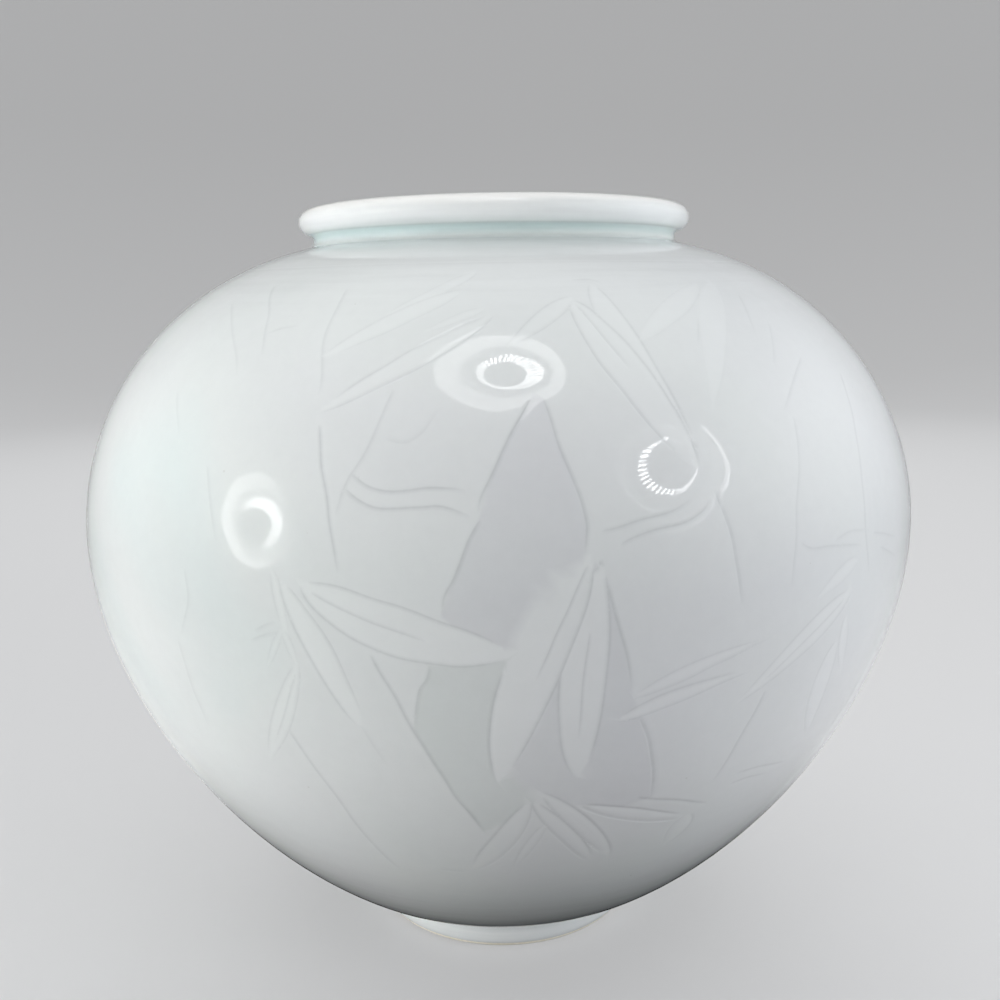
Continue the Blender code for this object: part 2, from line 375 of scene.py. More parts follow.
# Long cuts of the bamboo's culms and joints: how strong each is, and its way in the photograph's pixels
SEEN_CUTS = {
    "upper_left": (0.55, [(347, 288), (333, 315), (323, 344), (321, 378), (318, 396)]),
    "left_of_left_culm": (0.9, [(319, 424), (321, 456), (325, 491), (330, 529), (338, 574)]),
    "left_culm_outer": (0.6, [(394, 389), (382, 416), (363, 454), (346, 484), (335, 517)]),
    "left_culm_inner": (1.0, [(530, 398), (511, 433), (492, 475), (480, 500), (478, 514)]),
    "left_culm_inner_below": (0.9, [(481, 519), (466, 546), (454, 579), (444, 597), (441, 617)]),
    "left_culm_faint": (0.35, [(385, 441), (405, 443), (422, 432), (432, 418), (441, 407)]),
    "middle_culm_left": (1.0, [(543, 398), (555, 435), (571, 473), (585, 517), (587, 534), (585, 556)]),
    "middle_culm_right": (0.7, [(715, 489), (725, 517), (735, 554), (742, 605)]),
    "lower_left_inner": (1.0, [(370, 654), (392, 694), (412, 728), (440, 774), (464, 807), (484, 832)]),
    "lower_left_outer": (0.8, [(288, 730), (312, 764), (340, 803), (368, 839), (398, 869)]),
    "lower_left_faint": (0.3, [(358, 722), (372, 744), (388, 766)]),
    "lower_middle_left": (0.9, [(598, 560), (612, 600), (624, 644), (632, 690)]),
    "lower_middle_left_below": (0.9, [(640, 716), (648, 740), (652, 766), (652, 797)]),
    "lower_middle_right": (0.7, [(765, 690), (748, 724), (732, 752), (712, 782)]),
    "right_culm_left": (0.5, [(801, 356), (791, 388), (783, 410)]),
    "right_culm_left_below": (0.45, [(794, 416), (799, 460), (797, 507), (791, 588)]),
    "right_culm_right": (0.4, [(840, 372), (859, 452), (866, 530), (869, 574)]),
    "far_left_upper": (0.35, [(177, 391), (179, 436)]),
    "far_left": (0.45, [(207, 464), (210, 507), (215, 542)]),
    "far_left_lower": (0.4, [(184, 568), (187, 602), (181, 636)]),
    "far_left_low": (0.35, [(178, 640), (189, 678), (208, 726)]),
    "upper_left_short": (0.5, [(273, 286), (268, 312), (265, 331), (261, 356)]),
    "upper_left_tick": (0.4, [(267, 334), (282, 328), (300, 325)]),
    "upper_left_far": (0.4, [(232, 303), (234, 344), (237, 375)]),
    "upper_right": (0.35, [(697, 284), (697, 344)]),
    "upper_right_short": (0.35, [(715, 284), (714, 320)]),
    "upper_right_far": (0.3, [(738, 294), (756, 336)]),
    "upper_right_side": (0.3, [(769, 322), (774, 366)]),
    "below_big_leaf": (0.7, [(430, 667), (426, 680), (419, 690), (416, 710), (415, 732)]),
    "by_the_foot": (0.5, [(440, 870), (466, 872)]),
    "joint_left_upper": (1.0, [(350, 472), (366, 485), (384, 491), (404, 491), (426, 488), (448, 488), (467, 490)]),
    "joint_left_lower": (1.0, [(344, 488), (357, 499), (375, 507), (396, 509), (420, 507), (441, 506), (471, 517)]),
    "joint_middle_upper": (0.7, [(601, 531), (621, 526), (650, 518), (675, 509), (693, 500)]),
    "joint_middle_lower": (0.7, [(620, 545), (634, 537), (656, 529), (684, 523), (703, 512), (712, 498)]),
    "joint_right_upper": (0.4, [(835, 541), (851, 532), (870, 529)]),
    "joint_right_lower": (0.5, [(801, 543), (813, 548), (835, 545), (863, 545)]),
    "joint_far_right_upper": (0.4, [(873, 532), (896, 536)]),
    "joint_far_right_lower": (0.4, [(880, 546), (896, 556)]),
    "joint_small_left_upper": (0.5, [(253, 630), (264, 625), (276, 622)]),
    "joint_small_left_lower": (0.5, [(250, 641), (266, 635), (281, 631)]),
    "joint_bottom": (0.8, [(637, 798), (672, 800), (708, 803)]),
    "joint_bottom_right_upper": (0.5, [(737, 773), (758, 767), (786, 761)]),
    "joint_bottom_right_lower": (0.5, [(730, 784), (749, 777), (767, 773)]),
    "joint_top": (0.5, [(570, 280), (590, 279), (604, 283)]),
}
# Leaves in the photograph's pixels: base, tip, width, bend to the right of the way out, rib, how strong, where
# widest and where the left edge starts. A later leaf lies over an earlier one.
RIB = (0.05, 0.08, 0.8)
SEEN_LEAVES = {
    "top_outer": ((590, 284), (698, 450), 24, 0, None, 0.7, 0.4),
    "top_long": ((571, 300), (698, 468), 35, -3, (0.1, 0.03, 0.5), 0.9, 0.5),
    "top_short": ((571, 297), (505, 348), 18, 0, None, 0.7),
    "upper_left_high": ((476, 272), (376, 320), 9, 0, None, 0.4),
    "upper_left_middle": ((462, 290), (322, 357), 15, 2, None, 0.5, 0.45),
    "upper_left_between": ((484, 308), (420, 333), 8, 0, None, 0.4),
    "upper_left_low": ((492, 316), (319, 412), 19, 0, None, 0.8, 0.45),
    "upper_right_hanging": ((698, 284), (640, 340), 24, 0, None, 0.3, 0.5),
    "right_of_middle": ((712, 282), (713, 412), 30, 0, None, 0.2, 0.4),
    "left_down": ((280, 582), (360, 726), 24, -1, None, 0.85, 0.5),
    "left_bud": ((272, 570), (292, 662), 9, 0, None, 0.5),
    "left_small": ((281, 631), (265, 671), 8, 0, None, 0.6),
    "left_small_right": ((283, 631), (298, 668), 7, 0, None, 0.5),
    "left_low": ((298, 664), (270, 759), 21, 0, RIB, 0.7, 0.45),
    "big": ((299, 585), (514, 656), 49, 14, (0.0, 0.06, 0.62), 1.0, 0.47),
    "centre": ((600, 566), (577, 777), 46, 4, (0.0, 0.27, 0.78), 0.95, 0.5),
    "centre_left": ((590, 556), (498, 783), 55, 10, (0.25, 0.03, 0.5), 1.0, 0.45, 0.5),
    "right_upper": ((634, 698), (774, 636), 12, -2, None, 0.6),
    "right_lower": ((618, 721), (752, 670), 13, -2, None, 0.8),
    "far_right_long": ((852, 590), (732, 708), 18, -3, RIB, 0.6),
    "far_right_short": ((858, 558), (816, 600), 12, 0, None, 0.4),
    "far_right_down": ((836, 642), (805, 738), 14, 2, None, 0.5),
    "far_right_small": ((846, 616), (840, 676), 8, 0, None, 0.4),
    "bottom_small": ((546, 824), (512, 870), 9, 0, None, 0.6),
    "bottom_left": ((530, 803), (474, 870), 21, -4, None, 0.9, 0.5),
    "bottom_middle": ((533, 803), (590, 860), 17, -1, None, 0.95, 0.5),
    "bottom_right": ((541, 793), (609, 856), 19, -4, None, 1.0, 0.5),
    "bottom_far": ((580, 806), (686, 817), 12, 3, None, 1.0, 0.5),
    "bottom_tip": ((690, 814), (663, 847), 13, 0, None, 0.7),
}
# The ground between the culms lies a little lower, under thicker glaze: its outlines in the photograph's pixels
SEEN_GROUNDS = {
    "middle": Area(
        [(536, 392), (511, 433), (492, 475), (480, 516), (466, 546), (454, 579), (441, 617), (470, 640), (510, 650)]
        + [(540, 610), (583, 560), (587, 534), (585, 517), (571, 473), (555, 435), (543, 398)],
        0.14,
        0.3,
    ),
    "left": Area(
        [(430, 655), (426, 680), (419, 690), (416, 710), (414, 730), (440, 774), (464, 807), (484, 832), (512, 820)]
        + [(537, 806), (520, 780), (505, 760), (510, 700), (520, 660), (480, 650)],
        0.16,
        -0.3,
    ),
    "right": Area(
        [(592, 560), (600, 566), (612, 600), (624, 644), (632, 690), (640, 716), (648, 740), (652, 766), (652, 797)]
        + [(620, 808), (580, 806), (545, 796), (520, 780), (510, 760), (530, 700), (550, 640), (575, 600)],
        0.13,
        0.15,
    ),
}
SHOULDER_LINE_PIXEL = (490, 262)  # a line turned round the shoulder passes here


def through(points, count=16):
    """A smooth line through given points, on the plan."""
    points = np.asarray(points, complex)
    around = np.concatenate([[2 * points[0] - points[1]], points, [2 * points[-1] - points[-2]]])
    t = np.linspace(0, 1, count, endpoint=False)
    runs = []
    for a, b, c, d in zip(around, around[1:], around[2:], around[3:]):
        runs.append(b + (c - a) * t / 2 + (a - 2.5 * b + 2 * c - d / 2) * t**2 + (1.5 * (b - c) + (d - a) / 2) * t**3)
    return np.concatenate([*runs, points[-1:]])


def lengths(path):
    """The real length along a path on the plan, at each of its points."""
    steps = np.abs(np.diff(path)) * radius_at((path[1:] + path[:-1]) / 2)
    return np.concatenate([[0], np.cumsum(steps)])


def evenly(path, step):
    length = lengths(path)
    count = max(2, round(length[-1] / step) + 1)
    return np.interp(np.linspace(0, length[-1], count), length, path)


def leaf_half_width(t, widest):
    """A narrow leaf's half width, 1 at its widest: round near the stem and drawn out to a point."""
    rise, fall = LEAF_ROUNDNESS, LEAF_ROUNDNESS * (1 - widest) / widest
    scale = widest**rise * (1 - widest) ** fall
    return np.clip(t, 0, 1) ** rise * np.clip(1 - t, 0, 1) ** fall / scale


def leaf_place(leaf, t, share):
    """A place on the plan: t from the leaf's base to its tip, and share of its half width to the left."""
    run = leaf.tip - leaf.base
    left = 1j * run / abs(run)
    middle = leaf.base + run * t
    size = 1 / radius_at(middle)
    out = leaf.width / 2 * leaf_half_width(t, leaf.widest) * share - leaf.bend * 4 * t * (1 - t)
    return middle + left * size * out


def inside_leaf(leaf, plan):
    """How far places on the plan lie inside a leaf's edges."""
    run = leaf.tip - leaf.base
    turned = (plan - leaf.base) / run
    t = turned.real
    across = turned.imag * radius_at(plan) * abs(run) + leaf.bend * 4 * t * (1 - t)
    half = leaf.width / 2 * leaf_half_width(t, leaf.widest)
    return np.where((t > 0) & (t < 1), half - np.abs(across), -1.0)


def under_leaf(leaf, plan):
    return inside_leaf(leaf, plan) > 0.2 * MM


def on_leaf(leaf, plan):
    """1 on a leaf and 0 beside it, with a narrow soft edge."""
    return np.clip(inside_leaf(leaf, plan) / LEAF_EDGE + 0.5, 0, 1)


def inside_area(area, plan):
    """1 inside an area and 0 outside it, with a narrow soft edge."""
    outline = np.append(area.outline, area.outline[0])
    away = outline[None, :] - plan[:, None]
    turns = np.angle(away[:, 1:] / away[:, :-1]).sum(1) / (2 * math.pi)
    way = np.diff(outline)
    along = np.clip((-away[:, :-1] / way).real, 0, 1)
    distance = np.abs(away[:, :-1] + along * way).min(1) * radius_at(plan)
    return np.clip(np.where(np.abs(turns) > 0.5, distance, -distance) / AREA_EDGE + 0.5, 0, 1)


def hand(rng, path, reach):
    """The path with the slow wander of a knife held in the hand."""
    length = lengths(path)
    wander = 0
    for _ in range(3):
        wave = rng.uniform(*KNIFE_WAVES) * MM
        wander = wander + np.sin(length * (2 * math.pi / wave) + rng.uniform(0, 2 * math.pi))
    return path + 1j * heading(path) * wander * reach / radius_at(path)


def leaf_cuts(rng, leaf):
    """The two edges of a leaf, which slope into it, and its rib. One edge runs on alone to each end."""
    cuts = []
    long_side = rng.choice([-1, 1])
    for side in (-1, 1):
        first, last = (0.0, 1.0) if side == long_side else (0.035, rng.uniform(0.9, 0.95))
        first = max(first, leaf.bare) if side == -1 else first
        t = np.linspace(first, last, 60)
        edge = hand(rng, leaf_place(leaf, t, side), LEAF_WANDER)
        cuts.append(Cut(edge, leaf.strength * rng.uniform(0.8, 1), rng.uniform(0.85, 1.1), -side))
    if leaf.rib:
        share, first, last = leaf.rib
        rib = hand(rng, leaf_place(leaf, np.linspace(first, last, 40), share), LEAF_WANDER)
        cuts.append(Cut(rib, leaf.strength * 0.85, 0.8, 1))
    return cuts


def uncovered(cut, leaves):
    """The parts of a cut that no leaf above it covers."""
    path = evenly(cut.path, 0.4 * MM)
    free = np.ones(len(path), bool)
    for leaf in leaves:
        free &= ~under_leaf(leaf, path)
    return [cut._replace(path=run) for run in runs_of(path, free)]


def runs_of(path, wanted):
    """The unbroken runs of a path where it is wanted, without the shortest."""
    edges = np.flatnonzero(np.diff(np.concatenate([[0], wanted.astype(int), [0]])))
    return [path[a:b] for a, b in zip(edges[::2], edges[1::2]) if b - a > SHORTEST_RUN]


def seen_leaf(base, tip, width, bend, *looks):
    """A leaf placed by the photograph's pixels, with its width and bend turned into real sizes there."""
    base, tip = np.array(base, float), np.array(tip, float)
    way = (tip - base) / math.dist(base, tip)
    right = np.array([-way[1], way[0]])
    middle = (base + tip) / 2
    places = seen_plan([base, tip, middle + right * (bend - width / 2), middle + right * (bend + width / 2)])
    run = places[1] - places[0]
    across = ((places[2:] - places[0]) / run).imag * abs(run) * radius_at(places[2:])
    return Leaf(places[0], places[1], abs(across[1] - across[0]), -across.mean(), *looks)


def front_carving(rng):
    lines = []
    for name, (strength, pixels) in SEEN_CUTS.items():
        side = -1 if name.startswith("joint") else 1
        lines.append(Cut(hand(rng, through(seen_plan(pixels)), EDGE_WANDER), strength, 1.0, side))
    areas = [area._replace(outline=seen_plan(area.outline)) for area in SEEN_GROUNDS.values()]
    return lines, [seen_leaf(*leaf) for leaf in SEEN_LEAVES.values()], areas


# The bamboo goes on round the sides and the back in the same manner. Each culm has the angle of its foot in
# degrees, more than 0 to the right of the front and less than 0 to the left, its lean in degrees from there to
# its top, and its width in millimetres. The plan reaches from -180 to 180.
FURTHER_CULMS = [(82, 12, 30), (118, -14, 34), (150, 10, 28), (-155, -12, 32), (-128, 14, 30), (-94, -8, 33)]
CULM_FOOT, CULM_TOP = 34, 250  # heights in millimetres
CULM_FOOT_LATER, CULM_TOP_SOONER = (0, 24), (4, 30)  # and how much later and sooner its sides may end
JOINT_HEIGHTS = (92, 158, 218)


def further_carving(rng):
    lines, leaves, areas = [], [], []
    for degrees, lean, width in FURTHER_CULMS:
        sides = {}
        for side in (-1, 1):
            ends = CULM_FOOT + rng.uniform(*CULM_FOOT_LATER), CULM_TOP - rng.uniform(*CULM_TOP_SOONER)
            heights = np.array([ends[0], *JOINT_HEIGHTS, ends[1]])
            share = (heights - CULM_FOOT) / (CULM_TOP - CULM_FOOT)
            middle = np.array([plan_of(degrees + lean * s, h) for s, h in zip(share, heights)])
            girth = rng.uniform(0.92, 1.05, len(heights)) * (0.5 + 0.5 * radius_at(middle) / BELLY_RADIUS)
            sides[side] = middle + side * width * MM / 2 * girth / radius_at(middle)
            path = through(sides[side])
            first, last = rng.integers(0, 8), len(path) - rng.integers(1, 14)
            for low, high in ((first, 34), (37, last)):
                edge = hand(rng, path[low:high], CULM_WANDER)
                lines.append(Cut(edge, rng.uniform(0.5, 0.9), 1.0, side))
        culm = np.concatenate([through(sides[-1]), through(sides[1])[::-1]])
        areas.append(Area(culm, -0.08, rng.uniform(-0.3, 0.3)))
        for k in range(len(JOINT_HEIGHTS)):
            if rng.random() < 0.25:
                continue
            left, right = sides[-1][k + 1], sides[1][k + 1]
            lines += joint(rng, left, right)
            if rng.random() < 0.8:
                leaves += cluster(rng, left if rng.random() < 0.5 else right)
    return lines, leaves, areas


def joint(rng, left, right):
    """The double line across a culm at one of its joints."""
    drop = rng.uniform(3.6, 4.6) * MM / radius_at(left)
    cuts = []
    for step in (0, 1):
        bow = rng.uniform(1.5, 3) * MM / radius_at(left)
        line = np.array([left, (left + right) / 2 - 1j * bow, right]) - 1j * drop * step
        cuts.append(Cut(hand(rng, through(line), JOINT_WANDER), rng.uniform(0.6, 0.9), 1.0, -1))
    return cuts


def cluster(rng, stem):
    """Three to five leaves that hang and fan out from one place on a stem."""
    found = []
    way = rng.uniform(-0.3, 0.3)
    for k in range(rng.integers(3, 6)):
        fan = way + (k - 2) * rng.uniform(0.4, 0.6)
        length = rng.uniform(30, 64) * MM
        start = stem + rng.uniform(-2, 2) * MM / radius_at(stem)
        tip = start + length / radius_at(stem) * complex(math.sin(fan), -math.cos(fan) * 0.9)
        width = length * rng.uniform(0.16, 0.24)
        bend = rng.uniform(-2.5, 2.5) * MM
        rib = (rng.uniform(-0.15, 0.15), rng.uniform(0.06, 0.12), rng.uniform(0.7, 0.85))
        rib = rib if rng.random() < 0.6 else None
        found.append(Leaf(start, tip, width, bend, rib, rng.uniform(0.5, 0.9), rng.uniform(0.36, 0.5)))
    return found


def carving():
    """Every cut on the vase, with what leaves cover taken away, every leaf and every area."""
    rng = np.random.default_rng(7)
    cuts, all_leaves, all_areas = [], [], []
    for lines, leaves, areas in (front_carving(rng), further_carving(rng)):
        all_areas += areas
        for line in lines:
            cuts += uncovered(line, leaves)
        for k, leaf in enumerate(leaves):
            for cut in leaf_cuts(rng, leaf):
                cuts += uncovered(cut, leaves[k + 1 :])
        all_leaves += leaves
    low, high = (plan_at(0, along).imag for along in (WALL_FOOT + UNCARVED_FOOT, WALL_TOP - UNCARVED_NECK))
    edge = UNCARVED_SEAM / BELLY_RADIUS
    kept = []
    for cut in cuts:
        x, y = cut.path.real, cut.path.imag
        inside = (y > low) & (y < high) & (x < BACK - edge) & (x > BACK - FULL_TURN + edge)
        kept += [cut._replace(path=run) for run in runs_of(cut.path, inside)]
    return kept, all_leaves, all_areas


def shoulder_line():
    """The line that a tool turned round the shoulder, as a cut from the seam round to the seam."""
    level = seen_plan([SHOULDER_LINE_PIXEL])[0].imag
    return Cut(np.array([BACK - FULL_TURN, BACK]) + 1j * level, 0.22, 1.0, -1, False)


def taper(cut, length):
    """A cut's depth along it: the knife goes in quickly and comes out slowly."""
    if not cut.tapered:
        return np.ones_like(length)
    total = length[-1]
    into = np.clip(length / min(KNIFE_IN, total / 3), 0, 1)
    out = np.clip((total - length) / min(KNIFE_OUT, total / 2), 0, 1)
    return np.sqrt(into) * out**0.7


def cut_rows(cuts):
    """The mesh's points beside each cut, on the plan, the deepest row first."""
    rows = []
    for place in np.argsort(np.abs(SECTION_AT)):
        for cut in cuts:
            path = evenly(cut.path, CUT_STEP)
            rows.append(path + 1j * heading(path) * cut.side * cut.scale * SECTION_AT[place] / radius_at(path))
    return np.concatenate(rows)


def tree_of(points):
    tree = KDTree(len(points))
    for i, point in enumerate(points):
        tree.insert(point, i)
    tree.balance()
    return tree


def thinned(plan, least):
    """The points that lie at least so far apart, earlier ones first."""
    points = on_outside(plan)
    tree = tree_of(points)
    kept = np.ones(len(points), bool)
    for i, point in enumerate(points):
        if kept[i]:
            for _, j, _ in tree.find_range(point, least):
                if j > i:
                    kept[j] = False
    return plan[kept]


def wall_plan(cuts, ring):
    """The wall's mesh on the plan: rings at its two ends, its open sides, the cuts' rows and a grid between."""
    low, high = OUTSIDE.rise[OUTSIDE.along >= WALL_FOOT][0], OUTSIDE.rise[OUTSIDE.along <= WALL_TOP][-1]
    left = BACK - FULL_TURN
    round_it = left + 2 * math.pi * np.arange(COLUMNS + 1) / COLUMNS
    ends = [round_it + 1j * low, round_it + 1j * high]
    ring_levels = ring.path[0].imag + ring.side * SECTION_AT / radius_at(ring.path[0])
    levels = np.interp(np.arange(WALL_FOOT, WALL_TOP, GRID_STEP)[1:], OUTSIDE.along, OUTSIDE.rise)
    clear = np.abs(levels[:, None] - ring_levels).min(1) > RING_CLEARANCE / NECK_RADIUS
    levels = np.sort(np.concatenate([levels[clear], ring_levels]))
    sides = [left + 1j * levels, BACK + 1j * levels]
    ring_rows = [round_it[1:-1] + 1j * level for level in ring_levels]
    grid = []
    rows = np.arange(WALL_FOOT + 1.5 * MM, WALL_TOP - MM, ROW_STEP)
    for k, level in enumerate(np.interp(rows, OUTSIDE.along, OUTSIDE.rise)):
        count = round(2 * math.pi * radius_at(1j * level) / GRID_STEP)
        grid.append(left + 2 * math.pi * (np.arange(count) + 0.5 * (k % 2) + 0.25) / count + 1j * level)
    grid = np.concatenate(grid)
    rows = thinned(np.concatenate([*ring_rows, cut_rows(cuts)]), LEAST_APART)
    tree = tree_of(on_outside(rows))
    open_ground = [tree.find(point)[2] > CUT_CLEARANCE for point in on_outside(grid)]
    return np.concatenate([*ends, *sides, rows, grid[np.array(open_ground)]]), len(levels)


WAVES = 9
WAVE_DEPTH = 0.05 * MM
WAVE_LENGTHS = 24, 60  # in millimetres
RIPPLE_DEPTH = 0.006 * MM
RIPPLE_LENGTH = 8.5 * MM


def unevenness(points, along, normal, up):
    """How far the thrown surface lies under its true profile, and the slope of that."""
    rng = np.random.default_rng(3)
    depth = np.full(len(points), WAVE_DEPTH)
    slope = np.zeros_like(points)
    for _ in range(WAVES):
        way = rng.normal(size=3)
        way *= 2 * math.pi / (rng.uniform(*WAVE_LENGTHS) * MM) / np.linalg.norm(way)
        phase = points @ way + rng.uniform(0, 2 * math.pi)
        depth += WAVE_DEPTH / WAVES * np.sin(phase)
        slope += WAVE_DEPTH / WAVES * np.cos(phase)[:, None] * way
    phase = along * (2 * math.pi / RIPPLE_LENGTH) + 2 * np.sin(points[:, 0] * 30) + 2 * np.sin(points[:, 2] * 55)
    depth += RIPPLE_DEPTH * (1 + np.sin(phase))
    slope += (RIPPLE_DEPTH * np.cos(phase) * 2 * math.pi / RIPPLE_LENGTH)[:, None] * up
    slope -= np.sum(slope * normal, -1, keepdims=True) * normal
    return depth, slope


BLEND = 4  # how sharply one cut gives way to another where they meet
CARVED_STEP = 0.3 * MM  # between the places along a cut that a point is measured from
CARVED_REACH = 3.5 * MM
END_FADE = 0.8 * MM
TILT = 0.25 * MM  # the slope of a section is taken over this much to each side
LEAST_DEPTH = 0.02
NEAREST_BATCH = 4_000_000


def section(across, values):
    return np.interp(across, SECTION_AT, values)


def carve(plan, cuts, leaves, areas, round_way, up):
    """What the cuts do at each point: the depth, its slope, how thick the glaze lies and its cast."""
    depth = np.zeros(len(plan))
    slope = np.zeros((len(plan), 3))
    pooled = np.zeros(len(plan))
    radius = radius_at(plan)
    for cut in cuts:
        path = evenly(cut.path, CARVED_STEP)
        reach = CARVED_REACH / radius_at(path).min()
        near = np.flatnonzero(
            (plan.real > path.real.min() - reach)
            & (plan.real < path.real.max() + reach)
            & (plan.imag > path.imag.min() - reach)
            & (plan.imag < path.imag.max() + reach)
        )
        if not len(near):
            continue
        way = heading(path)
        nearest = nearest_on(path, plan[near])
        offset = (plan[near] - path[nearest]) / way[nearest] * radius[near]
        across = offset.imag * cut.side / cut.scale
        past_end = np.clip(1 - np.abs(offset.real) / END_FADE, 0, 1)
        strength = (cut.strength * taper(cut, lengths(path)))[nearest] * past_end
        here = section(across, SECTION_DEPTH) * strength
        rise = section(across + TILT, SECTION_DEPTH) - section(across - TILT, SECTION_DEPTH)
        rise = rise / (2 * TILT) * strength * cut.side / cut.scale
        left = 1j * way[nearest]
        toward = left.real[:, None] * round_way[near] + left.imag[:, None] * up[near]
        depth[near] += here**BLEND
        slope[near] += (here ** (BLEND - 1) * rise)[:, None] * toward
        pooled[near] += (section(across, SECTION_GLAZE) * strength) ** BLEND
    total = depth ** (1 / BLEND)
    slope /= np.maximum(total, LEAST_DEPTH)[:, None] ** (BLEND - 1)
    pale = np.zeros(len(plan))
    for leaf in leaves:
        pale = np.maximum(pale, on_leaf(leaf, plan))
    thickness = pooled ** (1 / BLEND) * CUT_GLAZE + pale * LEAF_GLAZE
    cast = np.zeros(len(plan))
    for area in areas:
        inside = inside_area(area, plan) * (1 - pale)
        thickness += area.glaze * inside
        cast += area.cast * inside
    return total * CUT_DEPTH, slope * CUT_DEPTH, thickness, cast


def nearest_on(path, places):
    """For each place on the plan, which point of a path is nearest."""
    if len(path) * len(places) < NEAREST_BATCH:
        return np.abs(places[:, None] - path[None, :]).argmin(1)
    return np.concatenate([nearest_on(path, part) for part in np.array_split(places, 8)])


HOLLOW = OUTSIDE.where(complex(NECK_RADIUS, NECK_TOP))
CREST = OUTSIDE.where(complex(LIP_MIDDLE, LIP_LEVEL + LIP_HEIGHT / 2))
TEAL_WIDTH = 3.2 * MM
# Places along the outside, how far each reaches to either side, and how much thicker the glaze is there.
# Some bands are painted shade and some painted light, as marked.
GLAZE_AND_PAINTED_SHADE = (
    (HOLLOW, 2.2 * MM, 0.5),
    (HOLLOW - 5 * MM, 6 * MM, 0.06),
    (CREST, 6 * MM, -0.9),
    # painted shade round the belly
    (OUTSIDE.where(BELLY), 36 * MM, 0.15),
    # painted light on the lower belly
    (WALL_FOOT + 85 * MM, 28 * MM, -0.22),
    # glaze pooling above the foot, with painted shade of the underside on top of it
    (WALL_FOOT + 14 * MM, 18 * MM, 0.75),
    (WALL_FOOT - 1.5 * MM, 1.6 * MM, 0.3),
    # the foot's face: thin glaze, paled further by painted light
    (5 * MM, 4 * MM, -0.4),
    (0.6 * MM, 0.8 * MM, 0.3),
)


def glaze_and_painted_shade(along):
    """How thick the glaze lies along the outside: it gathers in hollows and runs thin over the lip. Its bands
    also hold painted shade on the belly and on the underside above the foot, where the glaze pools as well,
    and painted light on the lower belly and on the foot's face, where the glaze is thin as well.
    """
    return sum(share * bell(along, middle, width) for middle, width, share in GLAZE_AND_PAINTED_SHADE)


def teal(along):
    """The cast along the outside, which turns teal in the hollow of the neck."""
    return -bell(along, HOLLOW, TEAL_WIDTH)


def mesh_of(name, points, faces, material):
    mesh = bpy.data.meshes.new(name)
    mesh.from_pydata(points, [], faces)
    mesh.materials.append(material)
    return mesh


def give(mesh, attribute, values):
    mesh.attributes.new(attribute, "FLOAT", "POINT").data.foreach_set("value", np.asarray(values, np.float32))


def placed(name, data):
    made = bpy.data.objects.new(name, data)
    bpy.context.scene.collection.objects.link(made)
    return made


def strip(first, second):
    """Faces between two closed rings of the same count, given in order."""
    count = len(first)
    return [(first[k], first[(k + 1) % count], second[(k + 1) % count], second[k]) for k in range(count)]


ANGLES = BACK - FULL_TURN + FULL_TURN * np.arange(COLUMNS) / COLUMNS
AXIS_GAP = 1.5 * MM  # a surface's last ring is this far from the axis, and a fan closes it


class Surface:
    """Rings of points and the faces between them, gathered for one piece."""

    def __init__(self):
        self.points, self.normals, self.glaze, self.cast, self.faces = [], [], [], [], []
        self.count = 0

    def add(self, points, normals, glaze, cast=0.0):
        first = self.count
        self.points.append(points)
        self.normals.append(normals)
        self.glaze.append(np.broadcast_to(glaze, len(points)))
        self.cast.append(np.broadcast_to(cast, len(points)))
        self.count += len(points)
        return np.arange(first, self.count)

    def rings(self, profile, alongs, depth, outward=1, glaze=0.0, cast=0.0, after=None):
        """One ring for each length along a profile, joined in order. Returns the first and last ring."""
        first = None
        for k, along in enumerate(alongs):
            here = np.full(COLUMNS, along)
            normal, _, up = profile.directions(ANGLES, here)
            under, slope = depth(ANGLES, here, normal, up)
            thick, tint = (values[k] if np.ndim(values) else values for values in (glaze, cast))
            ring = self.add(profile.points(ANGLES, here, under), (normal + slope) * outward, thick, tint)
            first = ring if first is None else first
            if after is not None:
                self.faces += strip(after, ring) if outward > 0 else strip(ring, after)
            after = ring
        return first, after

    def cap(self, ring, height, normal, flip):
        """A fan to one point on the axis."""
        middle = self.add(np.array([[0, 0, height]]), np.array([[0, 0, normal]]), 0.0)[0]
        for k in range(len(ring)):
            here, there = ring[k], ring[(k + 1) % len(ring)]
            self.faces.append((there, here, middle) if flip else (here, there, middle))

    def finish(self, name, material, node):
        """The piece, with its own smooth normals and its glaze's thickness and cast. On the outside that
        thickness also carries painted shade and light.
        """
        faces = [tuple(int(i) for i in face) for face in self.faces]
        mesh = mesh_of(name, np.concatenate(self.points).tolist(), faces, material)
        mesh.shade_smooth()
        mesh.normals_split_custom_set_from_vertices(unit(np.concatenate(self.normals)).tolist())
        give(mesh, "glaze", np.concatenate(self.glaze))
        give(mesh, "cast", np.concatenate(self.cast))
        made = placed(name, mesh)
        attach(made, "root")
        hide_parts(node)


def thrown(profile):
    """The depth that the hand leaves on a turned surface."""

    def depth(angle, along, normal, up):
        return unevenness(profile.points(angle, along), along, normal, up)

    return depth


def level(thickness):
    """An even depth."""

    def depth(angle, along, normal, up):
        return np.full(len(angle), thickness), np.zeros((len(angle), 3))

    return depth


def outside_depth(angle, along, normal, up):
    """The thrown surface, rounded off to nothing where the glaze ends on the foot."""
    depth, slope = unevenness(OUTSIDE.points(angle, along), along, normal, up)
    edge = np.clip(1 - along / GLAZE, 0, 1)
    rolled = GLAZE * (1 - np.sqrt(1 - edge**2))
    steep = np.where(edge > 0, edge / np.sqrt(np.maximum(1 - edge**2, 0.02)), 0)
    return np.maximum(depth * (1 - edge), rolled), slope - steep[:, None] * up


